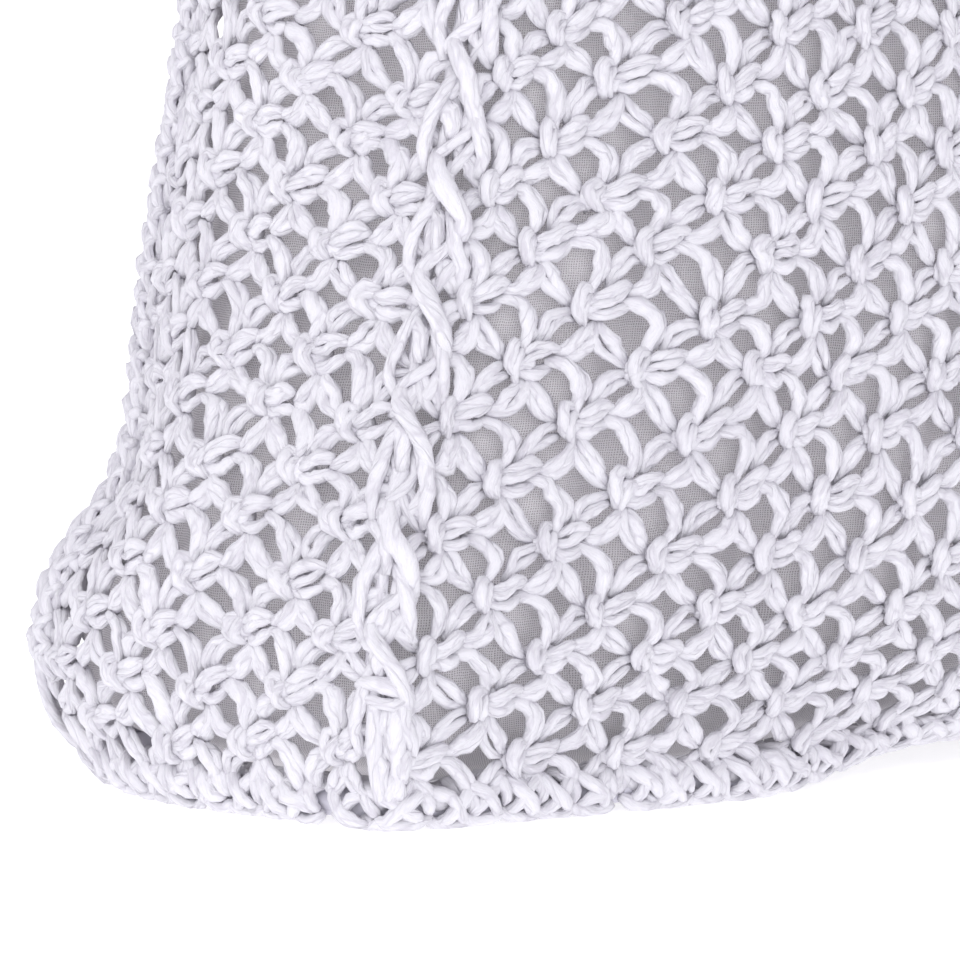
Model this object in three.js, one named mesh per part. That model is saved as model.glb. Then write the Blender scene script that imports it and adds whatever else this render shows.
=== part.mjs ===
// A white crocheted straw handbag. An openwork net of star knots makes the front, the back and the two
// side gussets. Corded corner seams join them, a corded edge runs round the base, and a band closes
// the rim. A woven lining pouch stands inside the net, and two arched handles are sewn to the rim.
// Millimetres, +Z up. The origin is on the ground, under the middle of the base.

import * as THREE from 'three';
import { mergeVertices } from 'three/addons/utils/BufferGeometryUtils.js';

// Driving dimensions of the bag's body.
const BASE_LENGTH = 380; // widest distance between the left and right corner seams
const BASE_DEPTH = 112; // widest distance between the front and back corner seams
const BAG_HEIGHT = 285; // ground to the top of the rim
const FRONT_BULGE = 40; // how far the front and back swell past their corner seams
const GUSSET_BULGE = 11; // how far the gussets swell past their corner seams
const FRONT_ROUNDNESS = 2; // power of the front's swelling curve
const GUSSET_SKEW = 3; // power that moves a gusset's fullest line towards the back

// Thicknesses and small pieces.
const CLEARANCE = 0.3; // between pieces that touch on the real bag
const NET_THICKNESS = 4.2;
const SEAM_RADIUS = 5;
const SEAM_INSET = 1; // from the sharp corner to the seam cord's centre
const BASE_EDGE_RADIUS = 5;
const BASE_EDGE_INSET = 3; // from the net's outer face to the edge cord's centre
const BASE_THICKNESS = 4;
const RIM_HEIGHT = 10;
const RIM_THICKNESS = 5;
const RIM_CHAMFER = 1.4;
const LINING_THICKNESS = 1.2;
const LINING_EASE = 0.3; // extra room for the net's flat facets beside the lining
const LINING_BOTTOM_RADIUS = 16;
const LINING_TOP_DROP = 2; // from the rim's top down to the lining's hem
const CORD_CORNER_CUT = 8; // where the base edge and the rim start to round a corner
const LINING_CORNER_CUT = 14; // where the lining starts to round a corner

// The net's gaps.
const FRONT_GAP_PITCH = 48;
const GUSSET_GAP_PITCH = 37;
const GAP_ROW_HEIGHT = 53;
const GAP_SHARE = 0.76; // of a cell's width and height that its gap takes
const GAP_ROUNDING = 0.58; // a gap's slanted sides: 0.5 is straight, more is fuller

// Handles.
const HANDLE_RADIUS = 6;
const HANDLE_SPREAD = 144; // between a handle's two legs
const HANDLE_RISE = 98; // from the rim's top to the handle's centre line at its top
const HANDLE_LEG = 34; // how far a leg is sewn down the net, below the rim's top
const HANDLE_LEAN = 8; // how far a handle's top leans inwards

// Fineness of the meshes.
const FRONT_STEPS = 12;
const GUSSET_STEPS = 5;
const CORNER_STEPS = 3;
const CORD_SIDES = 8;
const SEAM_SIDES = 10;
const SEAM_STEPS = 12;
const HANDLE_STEPS = 30;
const LINING_BEND_STEPS = 4;
const LINING_WALL_STEPS = 7;

// The body's cross-sections from the ground to the rim, as shares of the sizes above.
const SECTIONS = [
  { height: 0, length: 0.963, depth: 0.893, frontBulge: 0.5, gussetBulge: 0.73 },
  { height: 0.05, length: 1, depth: 1, frontBulge: 0.425, gussetBulge: 0.82 },
  { height: 0.175, length: 0.99, depth: 0.982, frontBulge: 0.65, gussetBulge: 1 },
  { height: 0.385, length: 0.89, depth: 0.84, frontBulge: 1, gussetBulge: 1 },
  { height: 0.665, length: 0.805, depth: 0.804, frontBulge: 0.85, gussetBulge: 1 },
  { height: 1, length: 0.735, depth: 0.786, frontBulge: 0.65, gussetBulge: 0.73 },
];

// A handle's centre line from its left foot to its top, mirrored for the right half.
const HANDLE_ROUTE = [
  { spread: 1, drop: 1, rise: 0, lean: 0 },
  { spread: 0.995, drop: 0, rise: 0.03, lean: 0 },
  { spread: 0.94, drop: 0, rise: 0.42, lean: 0.4 },
  { spread: 0.62, drop: 0, rise: 0.83, lean: 0.85 },
];

const strawMaterial = new THREE.MeshStandardMaterial({ color: 0xf1f0f6, roughness: 0.55, metalness: 0 });
const liningMaterial = new THREE.MeshStandardMaterial({ color: 0xaca7b0, roughness: 0.9, metalness: 0 });

/** The value of one column of the section table at a height share, on a smooth curve. */
function sectionShare(column, share) {
  const last = SECTIONS.length - 2;
  let row = 0;
  while (row < last && share > SECTIONS[row + 1].height) row += 1;
  const slope = (first, second) =>
    (SECTIONS[second][column] - SECTIONS[first][column]) / (SECTIONS[second].height - SECTIONS[first].height);
  const tangent = (index) => slope(Math.max(index - 1, 0), Math.min(index + 1, SECTIONS.length - 1));
  const low = SECTIONS[row];
  const high = SECTIONS[row + 1];
  const span = high.height - low.height;
  const t = THREE.MathUtils.clamp((share - low.height) / span, 0, 1);
  const rise = t * t * (3 - 2 * t);
  const lowTangent = t * (1 - t) * (1 - t) * span * tangent(row);
  const highTangent = t * t * (t - 1) * span * tangent(row + 1);
  return low[column] + rise * (high[column] - low[column]) + lowTangent + highTangent;
}

/** Half length, half depth and both bulges of the body at a height. */
function sectionAt(z) {
  const share = z / BAG_HEIGHT;
  return {
    halfLength: (BASE_LENGTH / 2) * sectionShare('length', share),
    halfDepth: (BASE_DEPTH / 2) * sectionShare('depth', share),
    frontBulge: FRONT_BULGE * sectionShare('frontBulge', share),
    gussetBulge: GUSSET_BULGE * sectionShare('gussetBulge', share),
  };
}

/** The front's plan curve from its left corner, s = 0, to its right corner, s = 1. */
function frontPlan(s, z) {
  const { halfLength, halfDepth, frontBulge } = sectionAt(z);
  const swell = 1 - Math.abs(2 * s - 1) ** FRONT_ROUNDNESS;
  return new THREE.Vector2(halfLength * (2 * s - 1), -(halfDepth + frontBulge * swell));
}

/** The left gusset's plan curve from its front corner, s = 0, to its back corner, s = 1. */
function gussetPlan(s, z) {
  const { halfLength, halfDepth, gussetBulge } = sectionAt(z);
  const fullest = (1 / (GUSSET_SKEW + 1)) ** (1 / GUSSET_SKEW);
  const peak = fullest * (1 - fullest ** GUSSET_SKEW);
  const swell = (s * (1 - s ** GUSSET_SKEW)) / peak;
  return new THREE.Vector2(-(halfLength + gussetBulge * swell), halfDepth * (2 * s - 1));
}

const mirrorX = (point) => new THREE.Vector2(-point.x, point.y);
const mirrorY = (point) => new THREE.Vector2(point.x, -point.y);

// The four walls, walked anticlockwise seen from above, each from t = 0 to t = 1.
const WALLS = {
  front: { plan: (t, z) => frontPlan(t, z), steps: FRONT_STEPS },
  right: { plan: (t, z) => mirrorX(gussetPlan(t, z)), steps: GUSSET_STEPS },
  back: { plan: (t, z) => mirrorY(frontPlan(1 - t, z)), steps: FRONT_STEPS },
  left: { plan: (t, z) => gussetPlan(1 - t, z), steps: GUSSET_STEPS },
};
const WALL_ORDER = ['front', 'right', 'back', 'left'];
const NUDGE = 1e-3; // parameter step for measured directions

/** The wall before or after a named one, walking round the bag. */
function neighbour(name, step) {
  const count = WALL_ORDER.length;
  return WALL_ORDER[(WALL_ORDER.indexOf(name) + step + count) % count];
}

/** How far a wall's curve runs for a whole unit of its parameter, at its start or its end. */
function wallSpeed(name, z, atEnd) {
  const { plan } = WALLS[name];
  const from = plan(atEnd ? 1 : 0, z);
  const to = plan(atEnd ? 1 - NUDGE : NUDGE, z);
  return from.distanceTo(to) / NUDGE;
}

/** The corner after a named wall: its point, the inward bisector and half the angle between the walls. */
function cornerAfter(name, z) {
  const point = WALLS[name].plan(1, z);
  const along = WALLS[name].plan(1 - NUDGE, z).sub(point).normalize();
  const onward = WALLS[neighbour(name, 1)].plan(NUDGE, z).sub(point).normalize();
  const bisector = along.clone().add(onward).normalize();
  return { point, bisector, halfAngle: Math.acos(along.dot(bisector)) };
}

/** The strip beside a corner that the seam cord takes from each wall. */
function seamStrip(corner) {
  return SEAM_RADIUS + SEAM_INSET * Math.cos(corner.halfAngle) + CLEARANCE;
}

/** A point of a wall between its two seam strips, moved inwards by a depth. */
function wallPoint(name, share, z, depth) {
  const { plan } = WALLS[name];
  const start = seamStrip(cornerAfter(neighbour(name, -1), z)) / wallSpeed(name, z, false);
  const end = seamStrip(cornerAfter(name, z)) / wallSpeed(name, z, true);
  const t = start + (1 - start - end) * share;
  const ahead = plan(t + NUDGE, z).sub(plan(t - NUDGE, z)).normalize();
  const inward = new THREE.Vector2(-ahead.y, ahead.x);
  const place = plan(t, z).addScaledVector(inward, depth);
  return new THREE.Vector3(place.x, place.y, z);
}

/** A closed loop of points round the bag at a height, its corners rounded from a cut, moved inwards by a depth. */
function planLoop(z, depth, cut) {
  const outline = [];
  for (const name of WALL_ORDER) {
    const { plan, steps } = WALLS[name];
    const start = cut / wallSpeed(name, z, false);
    const end = cut / wallSpeed(name, z, true);
    for (let step = 0; step <= steps; step += 1) {
      outline.push(plan(start + (1 - start - end) * (step / steps), z));
    }
    const next = neighbour(name, 1);
    const nextStart = cut / wallSpeed(next, z, false);
    const bend = new THREE.QuadraticBezierCurve(plan(1 - end, z), plan(1, z), WALLS[next].plan(nextStart, z));
    for (let step = 1; step < CORNER_STEPS; step += 1) {
      outline.push(bend.getPoint(step / CORNER_STEPS));
    }
  }
  return outline.map((point, index) => {
    const before = outline.at(index - 1);
    const after = outline[(index + 1) % outline.length];
    const ahead = after.clone().sub(before).normalize();
    return new THREE.Vector3(point.x - ahead.y * depth, point.y + ahead.x * depth, z);
  });
}

/** One closed geometry from points and triangles, turned so that its faces point out. */
function closedGeometry(points, triangles) {
  let volume = 0;
  for (const [a, b, c] of triangles) {
    volume += points[a].dot(new THREE.Vector3().crossVectors(points[b], points[c]));
  }
  const index = triangles.flatMap(([a, b, c]) => (volume > 0 ? [a, b, c] : [a, c, b]));
  const geometry = new THREE.BufferGeometry();
  geometry.setAttribute('position', new THREE.Float32BufferAttribute(points.flatMap((p) => p.toArray()), 3));
  geometry.setIndex(index);
  geometry.computeVertexNormals();
  return geometry;
}

/** A solid through loops with equal point counts: a ring when joined, otherwise closed by a fan at each end. */
function loft(loops, joined) {
  const count = loops[0].length;
  const points = loops.flat();
  const triangles = [];
  const spans = joined ? loops.length : loops.length - 1;
  for (let level = 0; level < spans; level += 1) {
    const low = level * count;
    const high = ((level + 1) % loops.length) * count;
    for (let side = 0; side < count; side += 1) {
      const next = (side + 1) % count;
      triangles.push([low + side, low + next, high + next]);
      triangles.push([low + side, high + next, high + side]);
    }
  }
  if (!joined) {
    addFan(points, triangles, 0, count, true);
    addFan(points, triangles, (loops.length - 1) * count, count, false);
  }
  return closedGeometry(points, triangles);
}

/** Closes a loop that starts at an index with triangles from its middle. */
function addFan(points, triangles, start, count, reversed) {
  const middle = new THREE.Vector3();
  for (let side = 0; side < count; side += 1) middle.addScaledVector(points[start + side], 1 / count);
  const hub = points.push(middle) - 1;
  for (let side = 0; side < count; side += 1) {
    const here = start + side;
    const next = start + ((side + 1) % count);
    triangles.push(reversed ? [hub, next, here] : [hub, here, next]);
  }
}

// A cell's outline round its middle, in cell units: four corners and the middles of its four sides.
const CELL_OUTLINE = [
  { u: -0.5, v: -0.5 },
  { u: 0, v: -0.5 },
  { u: 0.5, v: -0.5 },
  { u: 0.5, v: 0 },
  { u: 0.5, v: 0.5 },
  { u: 0, v: 0.5 },
  { u: -0.5, v: 0.5 },
  { u: -0.5, v: 0 },
];

/** A flat sheet in cell units with a diamond gap in each whole cell. Odd rows shift by half a cell. */
function piercedSheet(columns, rows) {
  const points = [];
  const known = new Map();
  const pointAt = (u, v) => {
    const key = `${u.toFixed(3)} ${v.toFixed(3)}`;
    if (!known.has(key)) known.set(key, points.push({ u, v }) - 1);
    return known.get(key);
  };
  const triangles = [];
  const addQuad = (a, b, c, d) => triangles.push([a, b, c], [a, c, d]);
  const addHalfCell = (u, v) => {
    for (const low of [v, v + 0.5]) {
      addQuad(pointAt(u, low), pointAt(u + 0.5, low), pointAt(u + 0.5, low + 0.5), pointAt(u, low + 0.5));
    }
  };
  const addCell = (u, v) => {
    const outer = CELL_OUTLINE.map((corner) => pointAt(u + corner.u, v + corner.v));
    const inner = CELL_OUTLINE.map((corner) => {
      const slanted = corner.u !== 0 && corner.v !== 0;
      const share = slanted ? GAP_SHARE * GAP_ROUNDING : GAP_SHARE;
      return pointAt(u + corner.u * share, v + corner.v * share);
    });
    for (let side = 0; side < outer.length; side += 1) {
      const next = (side + 1) % outer.length;
      addQuad(outer[side], outer[next], inner[next], inner[side]);
    }
  };
  for (let row = 0; row < rows; row += 1) {
    const shift = row % 2 === 0 ? 0 : 0.5;
    if (shift > 0) {
      addHalfCell(0, row);
      addHalfCell(columns - 0.5, row);
    }
    for (let column = shift; column + 1 <= columns; column += 1) addCell(column + 0.5, row + 0.5);
  }
  return { points, triangles };
}

/** Gives a flat sheet a thickness: two faces, and a wall along every open edge. */
function thicken(sheet, place) {
  const count = sheet.points.length;
  const outer = sheet.points.map(({ u, v }) => place(u, v, 0));
  const inner = sheet.points.map(({ u, v }) => place(u, v, NET_THICKNESS));
  const triangles = [];
  const edges = new Set();
  for (const [a, b, c] of sheet.triangles) {
    triangles.push([a, b, c], [a + count, c + count, b + count]);
    for (const [from, to] of [[a, b], [b, c], [c, a]]) edges.add(`${from} ${to}`);
  }
  for (const edge of edges) {
    const [from, to] = edge.split(' ').map(Number);
    if (edges.has(`${to} ${from}`)) continue;
    triangles.push([from, from + count, to + count], [from, to + count, to]);
  }
  return closedGeometry([...outer, ...inner], triangles);
}

const netBottom = 2 * BASE_EDGE_RADIUS + CLEARANCE;
const netTop = BAG_HEIGHT - RIM_HEIGHT - CLEARANCE;

/** One net wall, cut through in staggered rows of diamond gaps. */
function netWall(name, width, gapPitch) {
  const columns = Math.max(1, Math.round(width / gapPitch));
  const rows = Math.max(1, Math.round((netTop - netBottom) / GAP_ROW_HEIGHT));
  const place = (u, v, depth) => {
    const z = netBottom + (netTop - netBottom) * (v / rows);
    return wallPoint(name, u / columns, z, depth);
  };
  return thicken(piercedSheet(columns, rows), place);
}

/** The corded seam in the corner after a wall, with level ends. */
function cornerSeam(name) {
  const loops = [];
  for (let step = 0; step <= SEAM_STEPS; step += 1) {
    const z = netBottom + (netTop - netBottom) * (step / SEAM_STEPS);
    const { point, bisector } = cornerAfter(name, z);
    const centre = point.clone().addScaledVector(bisector, SEAM_INSET);
    const loop = [];
    for (let side = 0; side < SEAM_SIDES; side += 1) {
      const angle = (2 * Math.PI * side) / SEAM_SIDES;
      const x = centre.x + SEAM_RADIUS * Math.cos(angle);
      const y = centre.y + SEAM_RADIUS * Math.sin(angle);
      loop.push(new THREE.Vector3(x, y, z));
    }
    loops.push(loop);
  }
  return loft(loops, false);
}

/** The round cord along the base's outline, which the bag stands on. */
function baseEdge() {
  const loops = [];
  for (let side = 0; side < CORD_SIDES; side += 1) {
    const angle = (2 * Math.PI * (side + 0.5)) / CORD_SIDES;
    const reach = BASE_EDGE_RADIUS / Math.cos(Math.PI / CORD_SIDES);
    const depth = BASE_EDGE_INSET + reach * Math.cos(angle);
    const height = BASE_EDGE_RADIUS + reach * Math.sin(angle);
    const loop = planLoop(BASE_EDGE_RADIUS, depth, CORD_CORNER_CUT);
    loops.push(loop.map((point) => point.setZ(height)));
  }
  return loft(loops, true);
}

/** The flat base inside its corded edge. */
function basePanel() {
  const reach = BASE_EDGE_RADIUS / Math.cos(Math.PI / CORD_SIDES);
  const depth = BASE_EDGE_INSET + reach + CLEARANCE;
  const faceAt = (height) => planLoop(BASE_EDGE_RADIUS, depth, CORD_CORNER_CUT).map((p) => p.setZ(height));
  return loft([faceAt(0), faceAt(BASE_THICKNESS)], false);
}

/** The band round the mouth, a chamfered rectangle in section. */
function rimBand() {
  const low = BAG_HEIGHT - RIM_HEIGHT;
  const section = [
    { depth: RIM_CHAMFER, z: low },
    { depth: RIM_THICKNESS - RIM_CHAMFER, z: low },
    { depth: RIM_THICKNESS, z: low + RIM_CHAMFER },
    { depth: RIM_THICKNESS, z: BAG_HEIGHT - RIM_CHAMFER },
    { depth: RIM_THICKNESS - RIM_CHAMFER, z: BAG_HEIGHT },
    { depth: RIM_CHAMFER, z: BAG_HEIGHT },
    { depth: 0, z: BAG_HEIGHT - RIM_CHAMFER },
    { depth: 0, z: low + RIM_CHAMFER },
  ];
  return loft(section.map(({ depth, z }) => planLoop(z, depth, CORD_CORNER_CUT)), true);
}

/** The lining pouch: a round-bottomed wall inside the net, open at the rim. */
function lining() {
  const wallDepth = Math.max(NET_THICKNESS, RIM_THICKNESS) + CLEARANCE + LINING_EASE;
  const floor = BASE_THICKNESS + CLEARANCE;
  const top = BAG_HEIGHT - LINING_TOP_DROP;
  const bendTop = floor + LINING_BOTTOM_RADIUS;
  const profile = (offset) => {
    const radius = LINING_BOTTOM_RADIUS - offset;
    const loops = [];
    for (let step = 0; step <= LINING_BEND_STEPS; step += 1) {
      const angle = (Math.PI / 2) * (step / LINING_BEND_STEPS);
      const depth = wallDepth + LINING_BOTTOM_RADIUS - radius * Math.sin(angle);
      loops.push(planLoop(bendTop - radius * Math.cos(angle), depth, LINING_CORNER_CUT));
    }
    for (let step = 1; step <= LINING_WALL_STEPS; step += 1) {
      const z = bendTop + (top - bendTop) * (step / LINING_WALL_STEPS);
      loops.push(planLoop(z, wallDepth + offset, LINING_CORNER_CUT));
    }
    return loops;
  };
  return loft([...profile(0), ...profile(LINING_THICKNESS).reverse()], false);
}

/** A handle on the front, or on the back when mirrored: a round cord in an arch with its legs sewn outside. */
function handle(side) {
  const leg = (z) => {
    const { halfLength } = sectionAt(z);
    const s = 0.5 - HANDLE_SPREAD / 2 / (2 * halfLength);
    const ahead = frontPlan(s + NUDGE, z).sub(frontPlan(s - NUDGE, z)).normalize();
    const outward = new THREE.Vector2(ahead.y, -ahead.x);
    return frontPlan(s, z).addScaledVector(outward, HANDLE_RADIUS + CLEARANCE).y;
  };
  const rimY = leg(BAG_HEIGHT);
  const footY = leg(BAG_HEIGHT - HANDLE_LEG);
  const left = HANDLE_ROUTE.map(({ spread, drop, rise, lean }) => {
    const y = drop > 0 ? footY : rimY + HANDLE_LEAN * lean;
    const z = BAG_HEIGHT - HANDLE_LEG * drop + HANDLE_RISE * rise;
    return new THREE.Vector3((-HANDLE_SPREAD / 2) * spread, side * -y, z);
  });
  const top = new THREE.Vector3(0, side * -(rimY + HANDLE_LEAN), BAG_HEIGHT + HANDLE_RISE);
  const right = left.map((point) => new THREE.Vector3(-point.x, point.y, point.z)).reverse();
  const route = new THREE.CatmullRomCurve3([...left, top, ...right], false, 'centripetal');
  const section = new THREE.Shape();
  for (let corner = 0; corner < CORD_SIDES; corner += 1) {
    const angle = (2 * Math.PI * corner) / CORD_SIDES;
    const x = HANDLE_RADIUS * Math.cos(angle);
    const y = HANDLE_RADIUS * Math.sin(angle);
    if (corner === 0) section.moveTo(x, y);
    else section.lineTo(x, y);
  }
  section.closePath();
  const tube = new THREE.ExtrudeGeometry(section, { steps: HANDLE_STEPS, extrudePath: route });
  tube.deleteAttribute('uv');
  tube.deleteAttribute('normal');
  const closed = mergeVertices(tube);
  closed.computeVertexNormals();
  return closed;
}

/** A named mesh. */
function piece(name, geometry, material) {
  const mesh = new THREE.Mesh(geometry, material);
  mesh.name = name;
  return mesh;
}

const bag = new THREE.Group();
bag.name = 'straw_bag';
bag.add(piece('front_panel', netWall('front', BASE_LENGTH, FRONT_GAP_PITCH), strawMaterial));
bag.add(piece('back_panel', netWall('back', BASE_LENGTH, FRONT_GAP_PITCH), strawMaterial));
bag.add(piece('left_gusset', netWall('left', BASE_DEPTH, GUSSET_GAP_PITCH), strawMaterial));
bag.add(piece('right_gusset', netWall('right', BASE_DEPTH, GUSSET_GAP_PITCH), strawMaterial));
bag.add(piece('front_right_seam', cornerSeam('front'), strawMaterial));
bag.add(piece('back_right_seam', cornerSeam('right'), strawMaterial));
bag.add(piece('back_left_seam', cornerSeam('back'), strawMaterial));
bag.add(piece('front_left_seam', cornerSeam('left'), strawMaterial));
bag.add(piece('base_edge', baseEdge(), strawMaterial));
bag.add(piece('base_panel', basePanel(), strawMaterial));
bag.add(piece('rim_band', rimBand(), strawMaterial));
bag.add(piece('lining', lining(), liningMaterial));
bag.add(piece('front_handle', handle(-1), strawMaterial));
bag.add(piece('back_handle', handle(1), strawMaterial));

export default bag;
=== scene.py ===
"""Looks of a white crocheted straw handbag: star net, corded seams and edges, lining and handles."""

import logging
import math
from dataclasses import dataclass, field
from enum import Enum
from typing import Callable, ClassVar, NamedTuple

import bpy
import numpy as np
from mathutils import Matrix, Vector


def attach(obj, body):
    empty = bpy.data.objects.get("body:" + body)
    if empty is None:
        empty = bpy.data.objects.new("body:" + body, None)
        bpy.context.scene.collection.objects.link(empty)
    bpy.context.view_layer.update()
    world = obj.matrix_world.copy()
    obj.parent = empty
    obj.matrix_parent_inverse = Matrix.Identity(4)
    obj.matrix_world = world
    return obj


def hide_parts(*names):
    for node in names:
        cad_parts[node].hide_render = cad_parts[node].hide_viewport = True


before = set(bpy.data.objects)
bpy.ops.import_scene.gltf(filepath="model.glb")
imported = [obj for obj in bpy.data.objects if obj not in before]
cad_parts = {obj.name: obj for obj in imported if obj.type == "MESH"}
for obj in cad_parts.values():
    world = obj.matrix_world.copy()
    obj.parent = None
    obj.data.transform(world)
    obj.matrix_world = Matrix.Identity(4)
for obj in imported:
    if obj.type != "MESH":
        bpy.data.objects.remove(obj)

log = logging.getLogger("straw_bag")
IMAGE_SIDE = 960
SEED = 20
STAR_SPACING = 0.0235
OVERRUN = 0.02
Colour = tuple[float, float, float, float]


class Wall(Enum):
    """The four walls, in the order met walking anticlockwise seen from above."""

    FRONT = 0
    RIGHT = 1
    BACK = 2
    LEFT = 3


class Detail(Enum):
    """How finely a strand of yarn is meshed: sides round it and rings along it."""

    NEAR = (7, 9)
    FAR = (4, 5)
    CORD = (6, 5)


class Section(NamedTuple):
    """A row of the body's section table, in shares of the body's named sizes."""

    height: float
    length: float
    depth: float
    front_bulge: float
    gusset_bulge: float


SECTIONS = (
    Section(0.0, 0.963, 0.893, 0.5, 0.73),
    Section(0.05, 1.0, 1.0, 0.425, 0.82),
    Section(0.175, 0.99, 0.982, 0.65, 1.0),
    Section(0.385, 0.89, 0.84, 1.0, 1.0),
    Section(0.665, 0.805, 0.804, 0.85, 1.0),
    Section(1.0, 0.735, 0.786, 0.65, 0.73),
)


def unit(vectors: np.ndarray) -> np.ndarray:
    """Vectors scaled to length one along the last axis.

    Args:
        vectors: shaped (..., dimensions).

    Returns:
        The unit vectors.
    """
    return vectors / np.maximum(np.linalg.norm(vectors, axis=-1, keepdims=True), 1e-12)


def squeeze(values: np.ndarray, low: float, high: float) -> np.ndarray:
    """Values held between two limits, with a sliver of what runs over left, so that strands stay apart.

    Args:
        values: the values.
        low: the lower limit.
        high: the upper limit.

    Returns:
        The held values.
    """
    held = np.clip(values, low, high)
    return held + OVERRUN * (values - held)


def spline(points: np.ndarray, count: int) -> np.ndarray:
    """Samples Catmull-Rom curves.

    Args:
        points: control points, shaped (curves, controls, values).
        count: samples on each curve.

    Returns:
        The samples, shaped (curves, count, values).
    """
    controls = points.shape[1]
    first = 2 * points[:, :1] - points[:, 1:2]
    last = 2 * points[:, -1:] - points[:, -2:-1]
    padded = np.concatenate([first, points, last], axis=1)
    place = np.linspace(0, controls - 1, count)
    step = np.minimum(place.astype(int), controls - 2)
    t = (place - step)[None, :, None]
    p0, p1, p2, p3 = (padded[:, step + k] for k in range(4))
    return 0.5 * (
        2 * p1
        + (p2 - p0) * t
        + (2 * p0 - 5 * p1 + 4 * p2 - p3) * t**2
        + (3 * p1 - p0 - 3 * p2 + p3) * t**3
    )


@dataclass(frozen=True)
class BagForm:
    """The body's outer form, in metres: the same sizes and section table as its solids."""

    base_length: float = 0.380
    base_depth: float = 0.112
    height: float = 0.285
    front_bulge: float = 0.040
    gusset_bulge: float = 0.011
    gusset_skew: float = 3.0
    corner_round: float = 0.006
    wall_steps: int = 60
    bend_steps: int = 9
    nudge: float = 1e-4

    def column(self, name: str, z: np.ndarray) -> np.ndarray:
        """One column of the section table at heights, on a smooth curve.

        Args:
            name: the column's field name.
            z: heights in metres.

        Returns:
            The column's values, in shares of the bag's sizes.
        """
        heights = np.array([row.height for row in SECTIONS])
        values = np.array([getattr(row, name) for row in SECTIONS])
        before = np.maximum(np.arange(len(heights)) - 1, 0)
        after = np.minimum(np.arange(len(heights)) + 1, len(heights) - 1)
        tangents = (values[after] - values[before]) / (heights[after] - heights[before])
        share = np.clip(z / self.height, 0, 1)
        row = np.clip(np.searchsorted(heights, share, side="right") - 1, 0, len(heights) - 2)
        span = heights[row + 1] - heights[row]
        t = (share - heights[row]) / span
        rise = t * t * (3 - 2 * t) * (values[row + 1] - values[row])
        low = t * (1 - t) ** 2 * span * tangents[row]
        high = t * t * (t - 1) * span * tangents[row + 1]
        return values[row] + rise + low + high

    def front(self, s: np.ndarray, z: np.ndarray) -> np.ndarray:
        """The front's plan points from its left corner, s = 0, to its right corner, s = 1.

        Args:
            s: share of the way along the front.
            z: heights.

        Returns:
            Plan points, shaped (..., 2).
        """
        half_length = self.base_length / 2 * self.column("length", z)
        half_depth = self.base_depth / 2 * self.column("depth", z)
        swell = self.front_bulge * self.column("front_bulge", z) * (1 - (2 * s - 1) ** 2)
        return np.stack([half_length * (2 * s - 1), -(half_depth + swell)], axis=-1)

    def gusset(self, s: np.ndarray, z: np.ndarray) -> np.ndarray:
        """The left gusset's plan points from its front corner, s = 0, to its back corner, s = 1.

        Args:
            s: share of the way along the gusset.
            z: heights.

        Returns:
            Plan points, shaped (..., 2).
        """
        half_length = self.base_length / 2 * self.column("length", z)
        half_depth = self.base_depth / 2 * self.column("depth", z)
        fullest = (1 / (self.gusset_skew + 1)) ** (1 / self.gusset_skew)
        peak = fullest * (1 - fullest**self.gusset_skew)
        inside = np.clip(s, 0, 1)
        swell = self.gusset_bulge * self.column("gusset_bulge", z) * inside * (1 - inside**self.gusset_skew)
        return np.stack([-(half_length + swell / peak), half_depth * (2 * s - 1)], axis=-1)

    def plan(self, wall: Wall, t: np.ndarray, z: np.ndarray) -> np.ndarray:
        """Plan points of a wall, walked anticlockwise from t = 0 to t = 1.

        Args:
            wall: the wall.
            t: share of the way along it.
            z: heights.

        Returns:
            Plan points, shaped (..., 2).
        """
        if wall is Wall.FRONT:
            return self.front(t, z)
        if wall is Wall.BACK:
            return self.front(1 - t, z) * (1, -1)
        if wall is Wall.RIGHT:
            return self.gusset(t, z) * (-1, 1)
        return self.gusset(1 - t, z)

    def corner(self, wall: Wall, z: np.ndarray) -> tuple[np.ndarray, np.ndarray, np.ndarray]:
        """The corner after a wall.

        Args:
            wall: the wall that ends in the corner.
            z: heights.

        Returns:
            The corner's plan points, and unit plan directions back along this wall and on along the next.
        """
        onward = Wall((wall.value + 1) % len(Wall))
        start = np.zeros_like(z)
        point = self.plan(onward, start, z)
        back = unit(self.plan(wall, start + 1 - self.nudge, z) - self.plan(wall, start + 1, z))
        ahead = unit(self.plan(onward, start + self.nudge, z) - point)
        return point, back, ahead

    def outline(self, z: float, inset: float, cut: float) -> np.ndarray:
        """A dense closed plan line round the bag with rounded corners.

        Args:
            z: height of the section.
            inset: how far the line lies inside the outer face.
            cut: distance from a corner at which its rounding starts.

        Returns:
            Plan points, anticlockwise, shaped (points, 2).
        """
        parts = []
        for wall in Wall:
            onward = Wall((wall.value + 1) % len(Wall))
            ends_cut = ((wall, False), (wall, True), (onward, False))
            starts = [self.cut_share(one, z, cut, at_end) for one, at_end in ends_cut]
            t = np.linspace(starts[0], 1 - starts[1], self.wall_steps)
            parts.append(self.plan(wall, t, np.full_like(t, z)))
            ends = self.plan(wall, np.array([1 - starts[1], 1.0]), np.full(2, z))
            after = self.plan(onward, np.array([starts[2]]), np.full(1, z))[0]
            bend = np.linspace(0, 1, self.bend_steps)[1:-1, None]
            parts.append((1 - bend) ** 2 * ends[0] + 2 * bend * (1 - bend) * ends[1] + bend**2 * after)
        line = np.concatenate(parts)
        ahead = unit(np.roll(line, -1, axis=0) - np.roll(line, 1, axis=0))
        return line + inset * np.stack([-ahead[:, 1], ahead[:, 0]], axis=-1)

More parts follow.
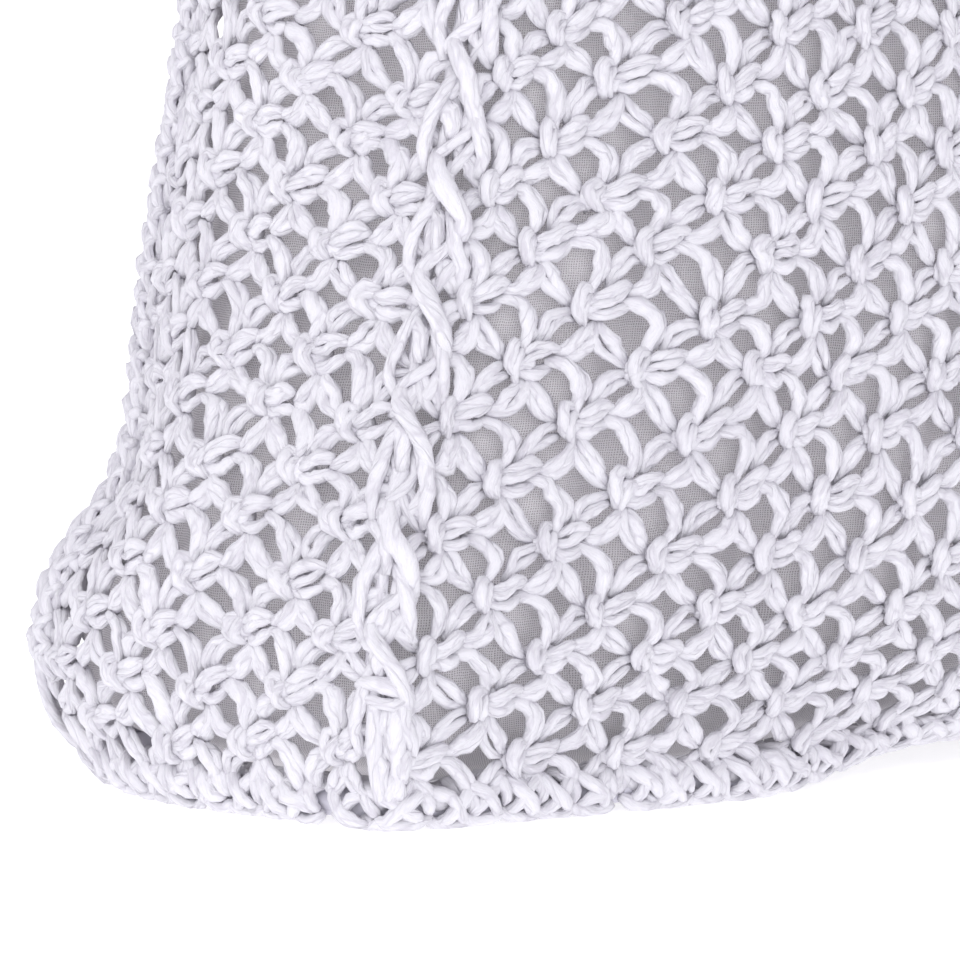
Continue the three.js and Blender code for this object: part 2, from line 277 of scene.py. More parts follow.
    def cut_share(self, wall: Wall, z: float, cut: float, at_end: bool) -> float:
        """The share of a wall's parameter that a cut beside one of its ends takes.

        Args:
            wall: the wall.
            z: height of the section.
            cut: the cut's length in metres.
            at_end: whether the cut is at the wall's end, not its start.

        Returns:
            The share, from 0 to 1.
        """
        t = np.array([1.0, 1 - self.nudge] if at_end else [0.0, self.nudge])
        pair = self.plan(wall, t, np.full(2, z))
        return cut * self.nudge / float(np.linalg.norm(pair[1] - pair[0]))


@dataclass(frozen=True)
class Slump:
    """How the soft bag gives way: its back left edge draws in, and its front's foot rolls under."""

    corner_depth: float = 0.0095
    corner_level: float = 0.066
    corner_reach: tuple[float, float] = (0.018, 0.030)
    upper_depth: float = 0.003
    upper_level: float = 0.03
    foot_depth: float = 0.006
    foot_reach: float = 0.014
    pinch_way: tuple[float, float] = (0.755, -0.656)
    side_start: float = 0.10
    side_reach: tuple[float, float] = (0.08, 0.045)
    roll_depth: float = 0.015
    roll_lift: float = 0.005
    roll_height: float = 0.030
    roll_half_width: float = 0.105
    roll_fade: float = 0.06
    front_fade: float = 0.03
    lift_reach: float = 0.012
    right_lift: float = 0.0055
    right_span: tuple[float, float] = (0.02, 0.17)
    right_fade: tuple[float, float] = (0.10, 0.05)
    ground: float = 0.0002

    def __call__(self, points: np.ndarray) -> np.ndarray:
        """Moves points of the bag at its plain form to where they slump.

        Args:
            points: shaped (points, 3), in metres.

        Returns:
            The moved points.
        """
        x, y, z = points.T
        side = self.soft((-x - self.side_start) / self.side_reach[0]) * self.soft(y / self.side_reach[1])
        reach = np.where(z < self.corner_level, *self.corner_reach)
        pinch = self.corner_depth * np.exp(-(((z - self.corner_level) / reach) ** 2))
        upper = self.upper_depth * (0.5 + 0.5 * self.soft(z / self.upper_level - 1))
        pinch = side * (pinch + upper + self.foot_depth * np.exp(-np.maximum(z, 0) / self.foot_reach))
        front = self.soft(-y / self.front_fade)
        middle = self.soft((self.roll_half_width - np.abs(x)) / self.roll_fade) * front
        roll = middle * np.clip(1 - z / self.roll_height, 0, 1) ** 2
        foot = np.exp(-np.maximum(z, 0) / self.lift_reach)
        start, end = self.right_span
        far = self.soft((x - start) / self.right_fade[0]) * self.soft((end - x) / self.right_fade[1]) * front
        lift = (self.roll_lift * middle + self.right_lift * far) * foot
        way_x, way_y = self.pinch_way
        shift = np.stack([way_x * pinch, self.roll_depth * roll + way_y * pinch, lift], axis=-1)
        moved = points + shift
        moved[:, 2] = np.maximum(moved[:, 2], self.ground)
        return moved

    def soft(self, share: np.ndarray) -> np.ndarray:
        """A smooth step from 0 to 1."""
        share = np.clip(share, 0, 1)
        return share * share * (3 - 2 * share)

    def settle(self, mesh: bpy.types.Mesh) -> None:
        """Moves a finished mesh's vertices.

        Args:
            mesh: the mesh that settles.
        """
        points = np.empty(len(mesh.vertices) * 3)
        mesh.vertices.foreach_get("co", points)
        mesh.vertices.foreach_set("co", self(points.reshape(-1, 3)).astype(np.float32).reshape(-1))
        mesh.update()


class Patch:
    """A surface that yarn is laid on: a map from two coordinates and a height above it to space."""

    nudge = 1e-3

    def point(self, u: np.ndarray, v: np.ndarray) -> np.ndarray:
        """The surface's points."""
        raise NotImplementedError

    def frame(self, lattice: np.ndarray) -> tuple[np.ndarray, np.ndarray]:
        """Places points given as (u, v, height).

        Args:
            lattice: shaped (..., 3).

        Returns:
            The placed points and the surface's outward normals.
        """
        u, v, height = (lattice[..., k] for k in range(3))
        right = self.point(u + self.nudge, v) - self.point(u - self.nudge, v)
        up = self.point(u, v + self.nudge) - self.point(u, v - self.nudge)
        normal = unit(np.cross(right, up))
        return self.point(u, v) + normal * height[..., None], normal


@dataclass
class WallPatch(Patch):
    """A wall of the net: u counts its stars from the left, v its star rows up from the lowest."""

    form: BagForm
    wall: Wall
    columns: float
    first_row: float = 0.0142
    row_step: float = 0.01115
    sag: float = 0.009
    sag_reach: float = 0.035
    net_middle: float = 0.0021
    seam_margin: float = 0.05
    lowest: float = 0.006
    highest: float = 0.277

    def drift(self, u: np.ndarray, v: np.ndarray) -> tuple[np.ndarray, np.ndarray]:
        """The slow pull of the stars out of their even grid, as the real net has grown.

        Args:
            u: star column.
            v: star row.

        Returns:
            The shifted column and row.
        """
        upper = np.clip((10 - v) / 3.5, 0, 1)
        if self.wall is Wall.FRONT:
            near = np.clip((9 - u) / 3, 0, 1) * np.clip(u / 0.4, 0, 1)
            body = np.clip((v - 1) / 1.5, 0, 1) * upper
            spread = 0.13 * np.exp(-(((u - 3.3) / 1.1) ** 2))
            spread = spread - 0.11 * np.exp(-(((u - 1.0) / 0.7) ** 2))
            sink = -0.05 * u * np.exp(-(((v - 1.7) / 1.1) ** 2))
            lift = 0.045 * (u - 2) * np.clip((v - 5) / 1.5, 0, 1) * upper
            across = near * (spread * body - 0.25 * np.exp(-np.maximum(v, 0) / 0.6))
            return u + across, v + near * (sink + lift)
        if self.wall is Wall.LEFT:
            level = np.clip(v, 0, 6.5)
            across = (0.09 - 0.05 * level) * (self.columns - u) * np.clip(u / 1.6, 0, 1)
            along = (0.15 - 0.07 * level) * np.clip((u - 1.7) / 2.3, 0, 1.2)
            return u + across * upper, v + along * upper
        return u, v

    def point(self, u: np.ndarray, v: np.ndarray) -> np.ndarray:
        """Points of the net's middle surface.

        Args:
            u: star column.
            v: star row.

        Returns:
            Points, shaped (..., 3).
        """
        u, v = self.drift(u, v)
        held = np.clip(u, self.seam_margin, self.columns - self.seam_margin)
        t = held / self.columns + (u - held) * OVERRUN
        level = self.first_row + v * 2 * self.row_step
        droop = self.sag if self.wall in (Wall.FRONT, Wall.BACK) else 0.0
        soft = 1 - np.exp(-np.maximum(level, 0) / self.sag_reach)
        z = level - droop * (1 - (2 * t - 1) ** 2) * soft
        z = squeeze(z, self.lowest, self.highest)
        plan = self.form.plan(self.wall, t, z)
        before = self.form.plan(self.wall, t - self.nudge, z)
        ahead = unit(self.form.plan(self.wall, t + self.nudge, z) - before)
        inward = np.stack([-ahead[..., 1], ahead[..., 0]], axis=-1) * self.net_middle
        return np.concatenate([plan + inward, z[..., None]], axis=-1)


@dataclass
class CornerPatch(Patch):
    """The rounded strip over a corner: u runs across it to the right, v up it, both in metres."""

    form: BagForm
    wall: Wall
    nudge: float = 1e-5

    def point(self, u: np.ndarray, v: np.ndarray) -> np.ndarray:
        """Points of the rounded corner.

        Args:
            u: distance across the corner.
            v: height.

        Returns:
            Points, shaped (..., 3).
        """
        corner, back, ahead = self.form.corner(self.wall, v)
        soft = np.sqrt(u**2 + self.form.corner_round**2)
        plan = corner + back * ((soft - u) / 2)[..., None] + ahead * ((soft + u) / 2)[..., None]
        return np.concatenate([plan, v[..., None]], axis=-1)


@dataclass
class CordPatch(Patch):
    """The skin of a round cord: u runs along its axis in metres, v turns round it in radians."""

    axis: np.ndarray
    outward: np.ndarray
    upward: np.ndarray
    radius: float
    closed: bool
    nudge: float = 1e-4
    blunt: float = 1.3
    tip: float = 0.15

    def __post_init__(self) -> None:
        """Measures the axis, and closes it where it is a loop."""
        if self.closed:
            self.axis, self.outward, self.upward = (
                np.concatenate([line, line[:1]]) for line in (self.axis, self.outward, self.upward)
            )
        steps = np.linalg.norm(np.diff(self.axis, axis=0), axis=1)
        self.marks = np.concatenate([[0], np.cumsum(steps)])
        self.length = float(self.marks[-1])

    def along(self, u: np.ndarray) -> list[np.ndarray]:
        """The axis point and its two side directions at distances along the axis.

        Args:
            u: distances in metres.

        Returns:
            The axis points, the outward directions and the upward directions.
        """
        place = np.mod(u, self.length) if self.closed else np.clip(u, 0, self.length)
        lines = (self.axis, self.outward, self.upward)
        return [
            np.stack([np.interp(place, self.marks, line[:, k]) for k in range(3)], axis=-1)
            for line in lines
        ]

    def frame(self, lattice: np.ndarray) -> tuple[np.ndarray, np.ndarray]:
        """Places points given as (distance, angle, height above the skin).

        Args:
            lattice: shaped (..., 3).

        Returns:
            The placed points and the skin's outward normals.
        """
        axis, outward, upward = self.along(lattice[..., 0])
        angle = lattice[..., 1, None]
        normal = unit(unit(outward) * np.cos(angle) + unit(upward) * np.sin(angle))
        skin = self.radius * self.girth(lattice[..., 0])[..., None]
        return axis + normal * (skin + lattice[..., 2, None]), normal

    def girth(self, u: np.ndarray) -> np.ndarray:
        """The cord's share of its full radius, which rounds off at an open cord's ends.

        Args:
            u: distances in metres.

        Returns:
            The share at each distance.
        """
        if self.closed:
            return np.ones_like(u)
        share = np.clip(np.minimum(u, self.length - u) / (self.blunt * self.radius), 0, 1)
        return self.tip + (1 - self.tip) * np.sqrt(1 - (1 - share) ** 2)


class Strand(NamedTuple):
    """One strand of a stitch: its route as (right, up, height), its width, thickness and end taper."""

    route: tuple[tuple[float, float, float], ...]
    width: float
    thickness: float
    taper: float = 0.48


class YarnPile:
    """Strands of yarn gathered into one mesh, each a sleeve with closed ends."""

    swell_power: ClassVar[float] = 0.62
    least_thickness: ClassVar[float] = 0.35
    ripple: ClassVar[float] = 0.06
    crinkle: ClassVar[float] = 0.085
    lean: ClassVar[float] = 0.35
    turn: ClassVar[float] = 0.5
    deepest_crease: ClassVar[float] = 0.22
    crease_reach: ClassVar[float] = 0.4
    ply_turns: ClassVar[tuple[float, float]] = (6, 34)
    width_range: ClassVar[tuple[float, float]] = (0.88, 1.18)
    thickness_range: ClassVar[tuple[float, float]] = (0.9, 1.12)
    height_stray: ClassVar[float] = 0.00022

    def __init__(self, rng: np.random.Generator) -> None:
        """Starts an empty pile.

        Args:
            rng: draws the yarn's unevenness.
        """
        self.rng = rng
        self.verts: list[np.ndarray] = []
        self.quads: list[np.ndarray] = []
        self.caps: dict[int, list[np.ndarray]] = {}
        self.quad_uvs: list[np.ndarray] = []
        self.cap_uvs: dict[int, list[np.ndarray]] = {}
        self.count = 0

    def add(
        self,
        patch: Patch,
        routes: np.ndarray,
        width: np.ndarray,
        thickness: np.ndarray,
        taper: float,
        detail: Detail,
    ) -> None:
        """Lays strands on a patch.

        Args:
            patch: the surface that the strands lie on.
            routes: control points as (u, v, height), shaped (strands, controls, 3).
            width: full width of each strand in metres.
            thickness: full thickness of each strand in metres.
            taper: share of the width that is left at the ends.
            detail: fineness of the mesh.
        """
        sides, rings = detail.value
        strands = len(routes)
        centre, normal = patch.frame(spline(routes, rings))
        tangent = unit(np.gradient(centre, axis=1))
        across = unit(np.cross(tangent, normal))
        lift = unit(np.cross(across, tangent))
        share = np.linspace(0, 1, rings)
        swell = taper + (1 - taper) * np.sin(math.pi * share) ** self.swell_power
        ripple = 1 + self.ripple * self.rng.standard_normal((strands, rings))
        lean = self.lean * self.rng.standard_normal((strands, 1))
        twist = lean + self.turn * (share - 0.5)[None] * self.rng.standard_normal((strands, 1))
        half_width = width[:, None] / 2 * swell * ripple
        least = self.least_thickness
        half_thick = thickness[:, None] / 2 * (least + (1 - least) * swell)
        angle = 2 * math.pi * (np.arange(sides) / sides) - math.pi / 2
        groove = np.exp(-((np.cos(angle) / self.crease_reach) ** 2))
        depth = self.rng.uniform(0.0, self.deepest_crease, (strands, 1, 1))
        crease = 1 - depth * groove * (np.sin(angle) > 0)
        crinkle = 1 + self.crinkle * self.rng.standard_normal((strands, rings, sides))
        side = half_width[..., None] * np.cos(angle) * crinkle
        top = half_thick[..., None] * np.sin(angle) * crease * crinkle
        cosine, sine = np.cos(twist)[..., None], np.sin(twist)[..., None]
        turned_side = (side * cosine - top * sine)[..., None]
        turned_top = (side * sine + top * cosine)[..., None]
        ring = centre[:, :, None] + across[:, :, None] * turned_side + lift[:, :, None] * turned_top
        self.verts.append(ring.reshape(-1, 3))
        self.index(strands, rings, sides, centre)

    def index(self, strands: int, rings: int, sides: int, centre: np.ndarray) -> None:
        """Adds the faces and UVs of sleeves just laid.

        Args:
            strands: how many sleeves.
            rings: rings along each.
            sides: points on each ring.
            centre: the sleeves' centre lines.
        """
        start = self.count + np.arange(strands)[:, None] * rings * sides
        ring = np.arange(rings - 1)[None, :, None] * sides
        side = np.arange(sides)[None, None, :]
        after = (side + 1) % sides
        corners = (ring + side, ring + after, ring + sides + after, ring + sides + side)
        self.quads.append(np.stack([start[..., None] + c for c in corners], axis=-1).reshape(-1, 4))
        steps = np.linalg.norm(np.diff(centre, axis=1), axis=2)
        run = np.concatenate([np.zeros((strands, 1)), np.cumsum(steps, axis=1)], axis=1)
        run = run + self.rng.uniform(0, 4, (strands, 1))
        one_each = (strands, 1, 1)
        ply = self.rng.uniform(*self.ply_turns, one_each) * self.rng.choice((-1.0, 1.0, 1.0), one_each)
        round_share = np.arange(sides + 1) / sides
        u = round_share[None, None, :] + self.rng.uniform(0, 50, one_each) + ply * run[..., None]
        uv = np.stack([u, np.broadcast_to(run[..., None], u.shape)], axis=-1)
        faces = np.stack([uv[:, :-1, :-1], uv[:, :-1, 1:], uv[:, 1:, 1:], uv[:, 1:, :-1]], axis=3)
        self.quad_uvs.append(faces.reshape(-1, 2))
        first = start + np.arange(sides)[None, ::-1]
        last = start + (rings - 1) * sides + np.arange(sides)[None]
        first_uv = uv[:, 0, :-1][:, ::-1].reshape(-1, 2)
        last_uv = uv[:, -1, :-1].reshape(-1, 2)
        self.caps.setdefault(sides, []).extend([first, last])
        self.cap_uvs.setdefault(sides, []).extend([first_uv, last_uv])
        self.count += strands * rings * sides

    def stitch(
        self,
        patch: Patch,
        places: np.ndarray,
        strand: Strand,
        unit_size: tuple[float, float],
        unit_width: float,
        detail: Detail,
        warp: Callable[[np.ndarray], np.ndarray] | None = None,
        loose: float = 1.0,
        spread: float = 0.012,
    ) -> None:
        """Lays one strand of a stitch at many places.

        Args:
            patch: the surface that the strands lie on.
            places: where each stitch stands, as (u, v), shaped (stitches, 2).
            strand: the strand's template.
            unit_size: what one unit of the template's right and up is on the patch.
            unit_width: metres for one unit of the template's width.
            detail: fineness of the mesh.
            warp: moves the control points, for an uneven hand.
            loose: how uneven the single strands' heights are.
            spread: how far control points stray, in the template's own units.
        """
        routes = np.array(strand.route, dtype=float)[None].repeat(len(places), axis=0)
        routes[..., :2] += self.rng.normal(0, spread, routes[..., :2].shape)
        routes[..., 2] += self.rng.normal(0, self.height_stray * loose, routes.shape[:2])
        routes[..., 0] *= unit_size[0]
        routes[..., 1] *= unit_size[1]
        routes[..., :2] += places[:, None]
        if warp is not None:
            routes = warp(routes)
        width = strand.width * unit_width * self.rng.uniform(*self.width_range, len(places))
        thickness = strand.thickness * self.rng.uniform(*self.thickness_range, len(places))
        self.add(patch, routes, width, thickness, strand.taper, detail)

    def piece(self, name: str, material: bpy.types.Material) -> bpy.types.Object:
        """Makes the mesh object of all strands.

        Args:
            name: the object's name.
            material: its finish.

        Returns:
            The object, at the origin, smooth shaded, with its strand UV map.
        """
        verts = np.concatenate(self.verts)
        loops = [np.concatenate(self.quads).reshape(-1)]
        totals = [np.full(sum(len(q) for q in self.quads), 4)]
        uvs = [np.concatenate(self.quad_uvs)]
        for sides, caps in self.caps.items():
            rows = np.concatenate(caps)
            loops.append(rows.reshape(-1))
            totals.append(np.full(len(rows), sides))
            uvs.append(np.concatenate(self.cap_uvs[sides]))
        loop_verts = np.concatenate(loops)
        loop_totals = np.concatenate(totals)
        loop_uvs = np.concatenate(uvs)
        mesh = bpy.data.meshes.new(name)
        mesh.vertices.add(len(verts))
        mesh.vertices.foreach_set("co", verts.astype(np.float32).reshape(-1))
        mesh.loops.add(len(loop_verts))
        mesh.loops.foreach_set("vertex_index", loop_verts.astype(np.int32))
        mesh.polygons.add(len(loop_totals))
        starts = np.concatenate([[0], np.cumsum(loop_totals)[:-1]])
        mesh.polygons.foreach_set("loop_start", starts.astype(np.int32))
        mesh.polygons.foreach_set("use_smooth", np.ones(len(loop_totals), dtype=bool))
        layer = mesh.uv_layers.new(name="Strand")
        layer.data.foreach_set("uv", loop_uvs.astype(np.float32).reshape(-1))
        mesh.update(calc_edges=True)
        mesh.validate()
        mesh.materials.append(material)
        piece = bpy.data.objects.new(name, mesh)
        bpy.context.collection.objects.link(piece)
        log.info("%s: %d triangles", name, int((loop_totals - 2).sum()))
        return piece


def fit_out(piece: bpy.types.Object, slot: str, *nodes: str) -> bpy.types.Object:
    """Lets a piece ride on the bag and stand for CAD nodes.

    Args:
        piece: the finished piece.
        slot: the record's material slot, not used.
        nodes: names of the CAD nodes that it stands for.

    Returns:
        The piece.
    """
    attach(piece, "root")
    if nodes:
        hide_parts(*nodes)
    return piece


def lone(piece: bpy.types.Object) -> bpy.types.Object:
    """Makes a piece the only selected and active object.

    Args:
        piece: the piece.

    Returns:
        The piece.
    """
    bpy.ops.object.select_all(action="DESELECT")
    piece.select_set(True)
    bpy.context.view_layer.objects.active = piece
    return piece


# The star stitch, in star spacings from its knot, heights in metres above the net's middle.
KNOT = (
    Strand(((-0.14, -0.01, 0.0004), (-0.05, 0.0, 0.0012), (0.10, 0.03, 0.0004)), 0.21, 0.0030, 0.7),
    Strand(
        ((-0.03, -0.05, 0.0008), (0.09, -0.08, 0.0014), (0.18, -0.05, 0.0015), (0.27, 0.01, 0.0008)),
        0.120, 0.0022,
    ),
    Strand(
        ((-0.03, -0.01, 0.0018), (0.085, 0.022, 0.0027), (0.18, 0.075, 0.0026), (0.30, 0.14, 0.0010)),
        0.086, 0.0021,
    ),
    Strand(
        ((-0.01, 0.045, 0.0018), (0.095, 0.10, 0.0029), (0.20, 0.15, 0.0028), (0.31, 0.15, 0.0010)),
        0.096, 0.0022,
    ),
    Strand(
        ((-0.01, 0.10, 0.0018), (-0.062, 0.01, 0.0030), (-0.062, -0.08, 0.0028), (-0.01, -0.15, 0.0008)),
        0.096, 0.0025,
    ),
    Strand(
        ((-0.01, 0.12, 0.0010), (-0.11, 0.125, 0.0028), (-0.132, 0.035, 0.0034),
         (-0.115, -0.05, 0.0032), (-0.05, -0.13, 0.0010)),
        0.112, 0.0026, 0.66,
    ),
)
FAR_KNOT = KNOT[1:4] + KNOT[5:]
PETALS_RIGHT = (
    Strand(
        ((0.30, 0.03, 0.0002), (0.42, -0.02, 0.0010), (0.510, -0.10, 0.0016), (0.548, -0.20, 0.0016),
         (0.535, -0.29, 0.0014), (0.49, -0.38, 0.0006)),
        0.100, 0.0022,
    ),
    Strand(
        ((0.20, 0.01, 0.0006), (0.33, 0.0, 0.0016), (0.425, -0.07, 0.0022), (0.474, -0.17, 0.0023),
         (0.486, -0.28, 0.0023), (0.462, -0.41, 0.0018)),
        0.142, 0.0023,
    ),
    Strand(
        ((0.0, -0.13, 0.0004), (0.045, -0.25, 0.0012), (0.115, -0.345, 0.0016), (0.21, -0.42, 0.0014),
         (0.35, -0.49, 0.0004)),
        0.105, 0.0021,
    ),
    Strand(
        ((0.05, -0.11, 0.0004), (0.13, -0.215, 0.0014), (0.195, -0.30, 0.0018),
         (0.265, -0.385, 0.0016), (0.36, -0.46, 0.0004)),
        0.122, 0.0022,
    ),
)
PETALS_LEFT = (
    Strand(
        ((-0.11, -0.03, 0.0004), (-0.235, -0.055, 0.0014), (-0.322, -0.115, 0.0018),
         (-0.372, -0.205, 0.0016), (-0.39, -0.29, 0.0012), (-0.375, -0.39, 0.0004)),
        0.104, 0.0021,
    ),
    Strand(
        ((-0.09, -0.10, 0.0002), (-0.20, -0.142, 0.0012), (-0.288, -0.215, 0.0014),
         (-0.348, -0.30, 0.0012), (-0.385, -0.40, 0.0002)),
        0.100, 0.0021,
    ),
    Strand(
        ((0.03, -0.12, 0.0004), (-0.03, -0.235, 0.0014), (-0.095, -0.315, 0.0018),
         (-0.165, -0.37, 0.0015), (-0.25, -0.405, 0.0004)),
        0.115, 0.0022,
    ),
    Strand(
        ((0.06, -0.12, 0.0004), (0.045, -0.24, 0.0012), (0.0, -0.33, 0.0015), (-0.075, -0.395, 0.0014),
         (-0.16, -0.425, 0.0010), (-0.25, -0.425, 0.0004)),
        0.118, 0.0021,
    ),
)


@dataclass
class UnevenHand:
    """A smooth random shift of the stitches, as a hand's uneven tension leaves."""

    rng: np.random.Generator
    columns: float
    rows: float
    reach: float = 0.045

    def __post_init__(self) -> None:
        """Draws the shifts at a half-spacing grid."""
        shape = (int(2 * self.columns) + 6, int(2 * self.rows) + 8, 2)
        self.grid = self.rng.normal(0, self.reach, shape)

    def __call__(self, routes: np.ndarray) -> np.ndarray:
        """Moves control points by the smooth shift at each.

        Args:
            routes: control points, (u, v, height) along the last axis.

        Returns:
            The moved points.
        """
        x = np.clip(2 * routes[..., 0] + 2, 0, self.grid.shape[0] - 1.001)
        y = np.clip(2 * routes[..., 1] + 3, 0, self.grid.shape[1] - 1.001)
        column, row = x.astype(int), y.astype(int)
        fx, fy = (x - column)[..., None], (y - row)[..., None]
        low = self.grid[column, row] * (1 - fx) + self.grid[column + 1, row] * fx
        high = self.grid[column, row + 1] * (1 - fx) + self.grid[column + 1, row + 1] * fx
        moved = routes.copy()
        moved[..., :2] += low * (1 - fy) + high * fy
        return moved


@dataclass
class NetWall:
    """One wall of star net."""

    form: BagForm
    wall: Wall
    columns: float
    first_offset: float
    rows: int = 24
    spacing: float = STAR_SPACING
    near_columns: tuple[float, float] = (0.0, 0.0)
    near_rows: int = 0
    fullness: float = 1.06
    splits: tuple[float, ...] = ()
    name: str = "net"
    node: str = "front_panel"
    rng: np.random.Generator = field(default_factory=lambda: np.random.default_rng(SEED))

    def stars(self) -> np.ndarray:
        """Every star place, as (u, v, row), those on the corner seams and above the top row among them.

        Returns:
            The places, shaped (stars, 3).
        """
        places = []
        for row in range(self.rows + 1):
            offset = self.first_offset if row % 2 == 0 else self.first_offset + 0.5
            first = offset - math.floor(offset + 1e-6)
            for u in np.arange(first, self.columns + 0.01, 1.0):
                places.append((u, row / 2, row))
        return np.array(places)

    def build(self, material: bpy.types.Material) -> list[bpy.types.Object]:
        """Builds the wall's net in pieces, finer where it is seen close.

        Args:
            material: the yarn's finish.

        Returns:
            The pieces.
        """
        patch = WallPatch(self.form, self.wall, self.columns)
        warp = UnevenHand(self.rng, self.columns, self.rows / 2)
        stars = self.stars()
        near = (stars[:, 0] >= self.near_columns[0]) & (stars[:, 0] <= self.near_columns[1])
        near &= stars[:, 2] <= self.near_rows
        made = []
        bounds = (-1.0, *self.splits, self.columns + 1.0)
        for index, (low, high) in enumerate(zip(bounds[:-1], bounds[1:])):
            inside = (stars[:, 0] >= low) & (stars[:, 0] < high)
            for detail, chosen in ((Detail.NEAR, inside & near), (Detail.FAR, inside & ~near)):
                if not chosen.any():
                    continue
                pile = YarnPile(self.rng)
                self.lay(pile, patch, stars[chosen], detail, warp)
                made.append(pile.piece(f"{self.name}_{detail.name.lower()}_{index + 1}", material))
        return [fit_out(piece, "straw_yarn", self.node) for piece in made]

    def lay(
        self, pile: YarnPile, patch: WallPatch, stars: np.ndarray, detail: Detail, warp: UnevenHand
    ) -> None:
        """Lays the knots and petals of some stars.

        Args:
            pile: gathers the strands.
            patch: the wall's surface.
            stars: the star places.
            detail: fineness of the mesh.
            warp: the uneven hand.
        """
        u, row = stars[:, 0], stars[:, 2]
        left_edge, right_edge = u < 0.25, u > self.columns - 0.25
        whole = ~left_edge & ~right_edge & (row < self.rows)
        knot = KNOT if detail is Detail.NEAR else FAR_KNOT
        groups = ((knot, whole), (PETALS_RIGHT, ~right_edge), (PETALS_LEFT, ~left_edge))
        for strands, chosen in groups:
            places = stars[chosen][:, :2]
            if not len(places):
                continue
            for strand in strands:
                pile.stitch(patch, places, strand, (1.0, 1.0), self.spacing * self.fullness, detail, warp)


# A corner seam's repeat, in millimetres across and up from its crossing, the gusset on the left.
SEAM_REPEAT = (
    Strand(
        ((-3.6, 3.0, -0.0004), (-2.5, -3.0, 0.0004), (-2.0, -9.0, 0.0004), (-3.0, -15.0, -0.0004)),
        3.9, 0.0026, 0.8,
    ),
    Strand(
        ((2.0, 1.0, -0.0004), (2.4, -5.0, 0.0004), (1.0, -11.0, 0.0004), (0.5, -17.0, -0.0004)),
        3.1, 0.0026, 0.8,
    ),
    Strand(
        ((0.5, -3.5, 0.0004), (2.0, -8.8, 0.0016), (-0.6, -12.2, 0.0020), (-3.4, -14.8, 0.0014),
         (-5.0, -17.8, 0.0002)),
        2.6, 0.0024, 0.6,
    ),
    Strand(
        ((5.4, -8.6, 0.0002), (4.0, -12.2, 0.0016), (1.8, -15.6, 0.0018), (-0.6, -19.5, 0.0004)),
        2.5, 0.0023, 0.6,
    ),
    Strand(
        ((0.2, -2.0, 0.0012), (2.4, -6.4, 0.0024), (3.8, -10.6, 0.0026), (4.8, -14.6, 0.0022),
         (5.2, -18.6, 0.0006)),
        3.1, 0.0027, 0.6,
    ),
    Strand(
        ((-1.6, 2.0, 0.0008), (-3.6, -3.0, 0.0024), (-5.4, -8.0, 0.0026), (-6.0, -13.0, 0.0022),
         (-5.2, -17.8, 0.0008)),
        3.1, 0.0027, 0.62,
    ),
    Strand(
        ((-3.6, 8.4, 0.0012), (-2.0, 4.8, 0.0030), (0.4, 0.6, 0.0040), (2.6, -4.2, 0.0038),
         (4.2, -8.8, 0.0016)),
        4.2, 0.0030, 0.6,
    ),
)
# A back seam's close chain, in the same units.
SEAM_CHAIN = (
    Strand(((-5.4, 4.2, -0.0002), (-5.8, 0.0, 0.0006), (-5.4, -4.2, -0.0002)), 6.4, 0.0028, 0.9),
    Strand(((-10.6, 4.2, -0.0004), (-11.0, 0.0, 0.0002), (-10.6, -4.2, -0.0004)), 5.0, 0.0026, 0.9),
    Strand(
        ((-7.0, 0.2, 0.0006), (-9.2, -0.8, 0.0022), (-11.4, -3.4, 0.0022), (-12.8, -6.2, 0.0004)),
        2.7, 0.0026,
    ),
    Strand(
        ((-13.6, 0.6, 0.0004), (-11.6, -0.6, 0.0020), (-9.2, -2.6, 0.0024), (-7.2, -4.8, 0.0008)),
        2.6, 0.0025,
    ),
    Strand(
        ((-0.6, 2.8, 0.0008), (-3.2, 1.4, 0.0028), (-5.6, -1.2, 0.0028), (-7.4, -4.2, 0.0006)),
        2.8, 0.0027,
    ),
    Strand(
        ((-7.6, 2.4, 0.0004), (-5.2, 1.6, 0.0020), (-2.6, -0.6, 0.0024), (-0.4, -3.2, 0.0008)),
        2.6, 0.0025,
    ),
    Strand(((2.6, 2.8, 0.0010), (0.4, 1.0, 0.0034), (0.2, -2.0, 0.0034), (2.2, -4.2, 0.0010)), 3.2, 0.0030),
    Strand(((5.6, 1.6, 0.0004), (3.6, 0.6, 0.0020), (1.8, -1.6, 0.0022), (0.6, -3.8, 0.0008)), 2.6, 0.0025),
)
# A seam's foot: a knot over a straight pair of strands.
SEAM_FOOT = (
    Strand(
        ((-1.9, 2.0, 0.0014), (-2.0, -5.0, 0.0026), (-1.8, -14.0, 0.0026), (-1.9, -23.0, 0.0012)),
        3.5, 0.0029, 0.8,
    ),
    Strand(
        ((1.5, 2.0, 0.0012), (1.6, -6.0, 0.0024), (1.7, -14.0, 0.0024), (1.4, -23.0, 0.0010)),
        3.4, 0.0028, 0.8,
    ),
    Strand(
        ((-6.5, 0.8, 0.0006), (-2.5, 1.6, 0.0036), (2.0, 0.6, 0.0040), (5.6, -1.8, 0.0008)),
        3.2, 0.0027, 0.62,
    ),
    Strand(
        ((-6.2, -1.4, 0.0006), (-2.2, -1.4, 0.0032), (1.8, -1.6, 0.0036), (5.2, 0.6, 0.0008)),
        2.9, 0.0025, 0.62,
    ),
)


